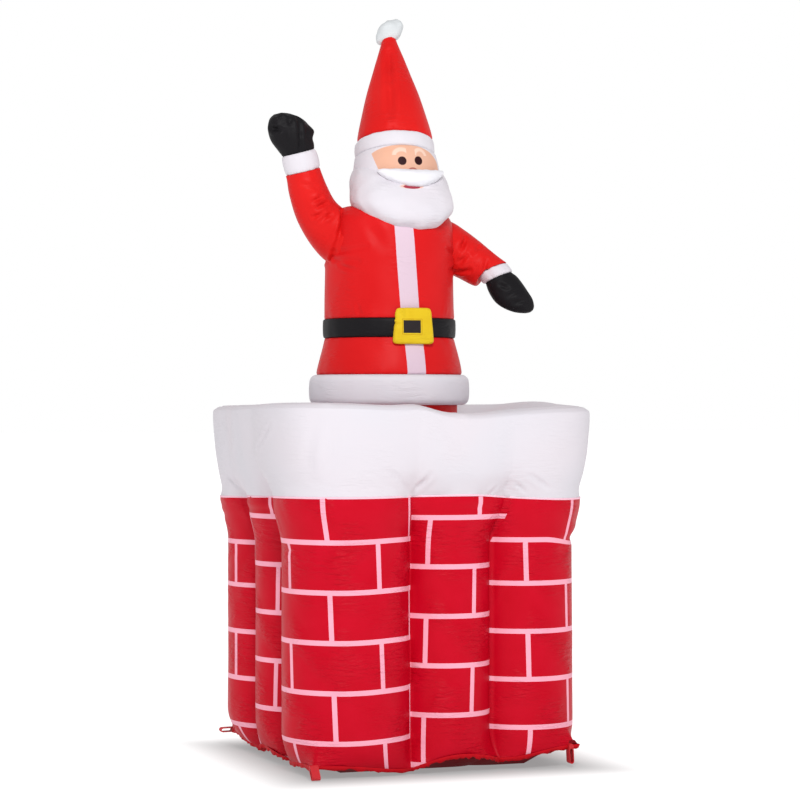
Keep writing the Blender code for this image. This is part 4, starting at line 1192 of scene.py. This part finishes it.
moustache = filled_ball("moustache_cushion", Vector((HEAD_X + 0.006, -0.1246, HEAD_FOOT + 0.0556)),
                        MOUSTACHE_HALF_SIZES, 2.4, moustache_bend, 64, 40)
roughen(moustache, 0.0012, 0.012, 56.0)
whole_beard = make_beard()
trim(moustache, head, whole_beard)
bpy.data.objects.remove(whole_beard)
clean_white = plain_taffeta("white_moustache_taffeta", "e4e1e6", "dfdfe5", 0.5, 0.25, 5.0, 1.5)
finish_piece(moustache, clean_white, "white_cloth", "moustache")


# The hat is a cone of red taffeta that leans back, on a puffed white band, with a white ball sewn
# to its tip.

BAND_RADIUS = 0.0965
BAND_HEIGHT = 0.041
HAT_RADIUS = 0.0905
HAT_LENGTH = 0.282


def hat_point(height):
    """A point on the hat's axis, so far above the head."""
    return HAT_FOOT + HAT_AXIS * height


band_rings = []
for share, swell in ((0.0, 0.93), (0.06, 0.975), (0.18, 1.0), (0.5, 1.012), (0.82, 1.0),
                     (0.94, 0.975), (1.0, 0.93)):
    radius = BAND_RADIUS * swell
    middle = hat_point(SEWN + BAND_HEIGHT * share)
    band_rings.append(oval(middle, HAT_AXIS, BACK, radius, radius, HEAD_COUNT))
rows = gather(between(band_rings, 4), 0.0024, 61.0, reach=0.012, pitch=0.016)
finish_piece(grid_mesh("hat_band_cloth", rows, cloth_map(rows)), WHITE_CLOTH, "white_cloth", "hat_band")

hat_rings = []
for share, swell in ((0.0, 0.97), (0.02, 1.0), (0.05, 1.01), (0.126, 0.97), (0.205, 0.91),
                     (0.29, 0.84), (0.435, 0.71), (0.59, 0.555), (0.745, 0.405), (0.90, 0.250),
                     (0.96, 0.190), (0.985, 0.145), (1.0, 0.070)):
    radius = HAT_RADIUS * swell
    middle = hat_point(BAND_HEIGHT + 2 * SEWN + HAT_LENGTH * share) + SIDEWAYS * (0.0025 * (1 - share))
    hat_rings.append(oval(middle, HAT_AXIS, BACK, radius, radius, HEAD_COUNT))
rows = gather(between(hat_rings, 8), 0.0026, 62.0, reach=0.018, pitch=0.018)
hat = grid_mesh("hat_cloth", rows, cloth_map(rows))
press(hat, (
    ((-0.0153, 0.0370, 1.7209), (-0.0289, -0.0085, 1.6465), 0.009, 0.0080),
    ((-0.0289, -0.0085, 1.6465), (-0.0447, -0.0600, 1.5554), 0.010, 0.0080),
))
finish_piece(hat, RED_CLOTH, "red_cloth", "hat")


def pompom_bend(offset):
    """The ball leans over to the side."""
    return offset + SIDEWAYS * (offset.z * 0.42)


POMPOM_MIDDLE = hat_point(0.317) + Vector((0.006, 0.012, 0.0165))
pompom = filled_ball("pompom_cloth", POMPOM_MIDDLE, (0.0300, 0.031, 0.0325), 2.3, pompom_bend, 72, 48)
roughen(pompom, 0.0042, 0.020, 66.0)
trim(pompom, hat)
grey_white = plain_taffeta("white_pompom_taffeta", "cdd0d2", "c9cdd0", 0.5, 0.25, 5.0, 1.5)
finish_piece(pompom, grey_white, "white_cloth", "pompom")


# The studio: a plain pale floor that glows, less so under and beside the chimney, which paints a soft
# contact shadow; soft light from all sides, dimmer from the camera's side, and a large soft lamp from in
# front.

REACH = 60
floor_mesh = bpy.data.meshes.new("studio_floor")
floor_mesh.from_pydata([(-REACH, -REACH, 0), (REACH, -REACH, 0), (REACH, REACH, 0), (-REACH, REACH, 0)],
                       [], [(0, 1, 2, 3)])
floor = bpy.data.objects.new("studio_floor", floor_mesh)
bpy.context.scene.collection.objects.link(floor)
paper = bpy.data.materials.new("pale_studio_paper")
paper.use_nodes = True
paper_shader = paper.node_tree.nodes["Principled BSDF"]
paper_shader.inputs["Base Color"].default_value = linear("7c7c7c")
paper_shader.inputs["Roughness"].default_value = 0.9
paper_shader.inputs["Specular IOR Level"].default_value = 0.1
paper_shader.inputs["Emission Color"].default_value = (1.0, 1.0, 1.0, 1.0)

# The paper glows less under and beside the chimney, a painted contact shadow, and glows in full from 0.56 m
# out
spots = apart(paper.node_tree, add(paper.node_tree, "ShaderNodeTexCoord").outputs["Object"])
sides = [reckon(paper.node_tree, "ABSOLUTE", spot) for spot in spots]
away = reckon(paper.node_tree, "SMOOTH_MAX", *sides, 0.12)
glow = ramp(paper.node_tree, away, 0.26, 0.56, 0.30, 1.02, "SMOOTHERSTEP")
paper.node_tree.links.new(glow, paper_shader.inputs["Emission Strength"])
floor_mesh.materials.append(paper)

world = bpy.data.worlds.new("studio_air")
world.use_nodes = True
toward = add(world.node_tree, "ShaderNodeSeparateXYZ", None,
             {"Vector": add(world.node_tree, "ShaderNodeTexCoord").outputs["Generated"]})

# The ceiling is dimmer than the walls, and the wall behind the camera is the dimmest
ceiling = ramp(world.node_tree, toward.outputs["Z"], 0.18, 0.50, 1.0, 0.62)
room = ramp(world.node_tree, toward.outputs["Y"], -0.75, 0.20, 0.38, 1.0)
air = world.node_tree.nodes["Background"]
air.inputs["Color"].default_value = (1.0, 1.0, 1.0, 1.0)
world.node_tree.links.new(reckon(world.node_tree, "MULTIPLY", ceiling, room), air.inputs["Strength"])
bpy.context.scene.world = world

LIT_POINT = Vector((0.0, 0.0, 0.9))
for name, at, size, power in (("key", (-1.2, -4.2, 3.6), 1.2, 168.0),
                              ("fill", (3.4, -2.6, 2.2), 2.6, 8.0)):
    lamp = bpy.data.lights.new(name + "_softbox", "AREA")
    lamp.size = size
    lamp.energy = power
    softbox = bpy.data.objects.new(name + "_softbox", lamp)
    softbox.location = at
    softbox.rotation_euler = (LIT_POINT - Vector(at)).to_track_quat("-Z", "Y").to_euler()
    bpy.context.scene.collection.objects.link(softbox)

bpy.context.scene.view_settings.view_transform = "Standard"
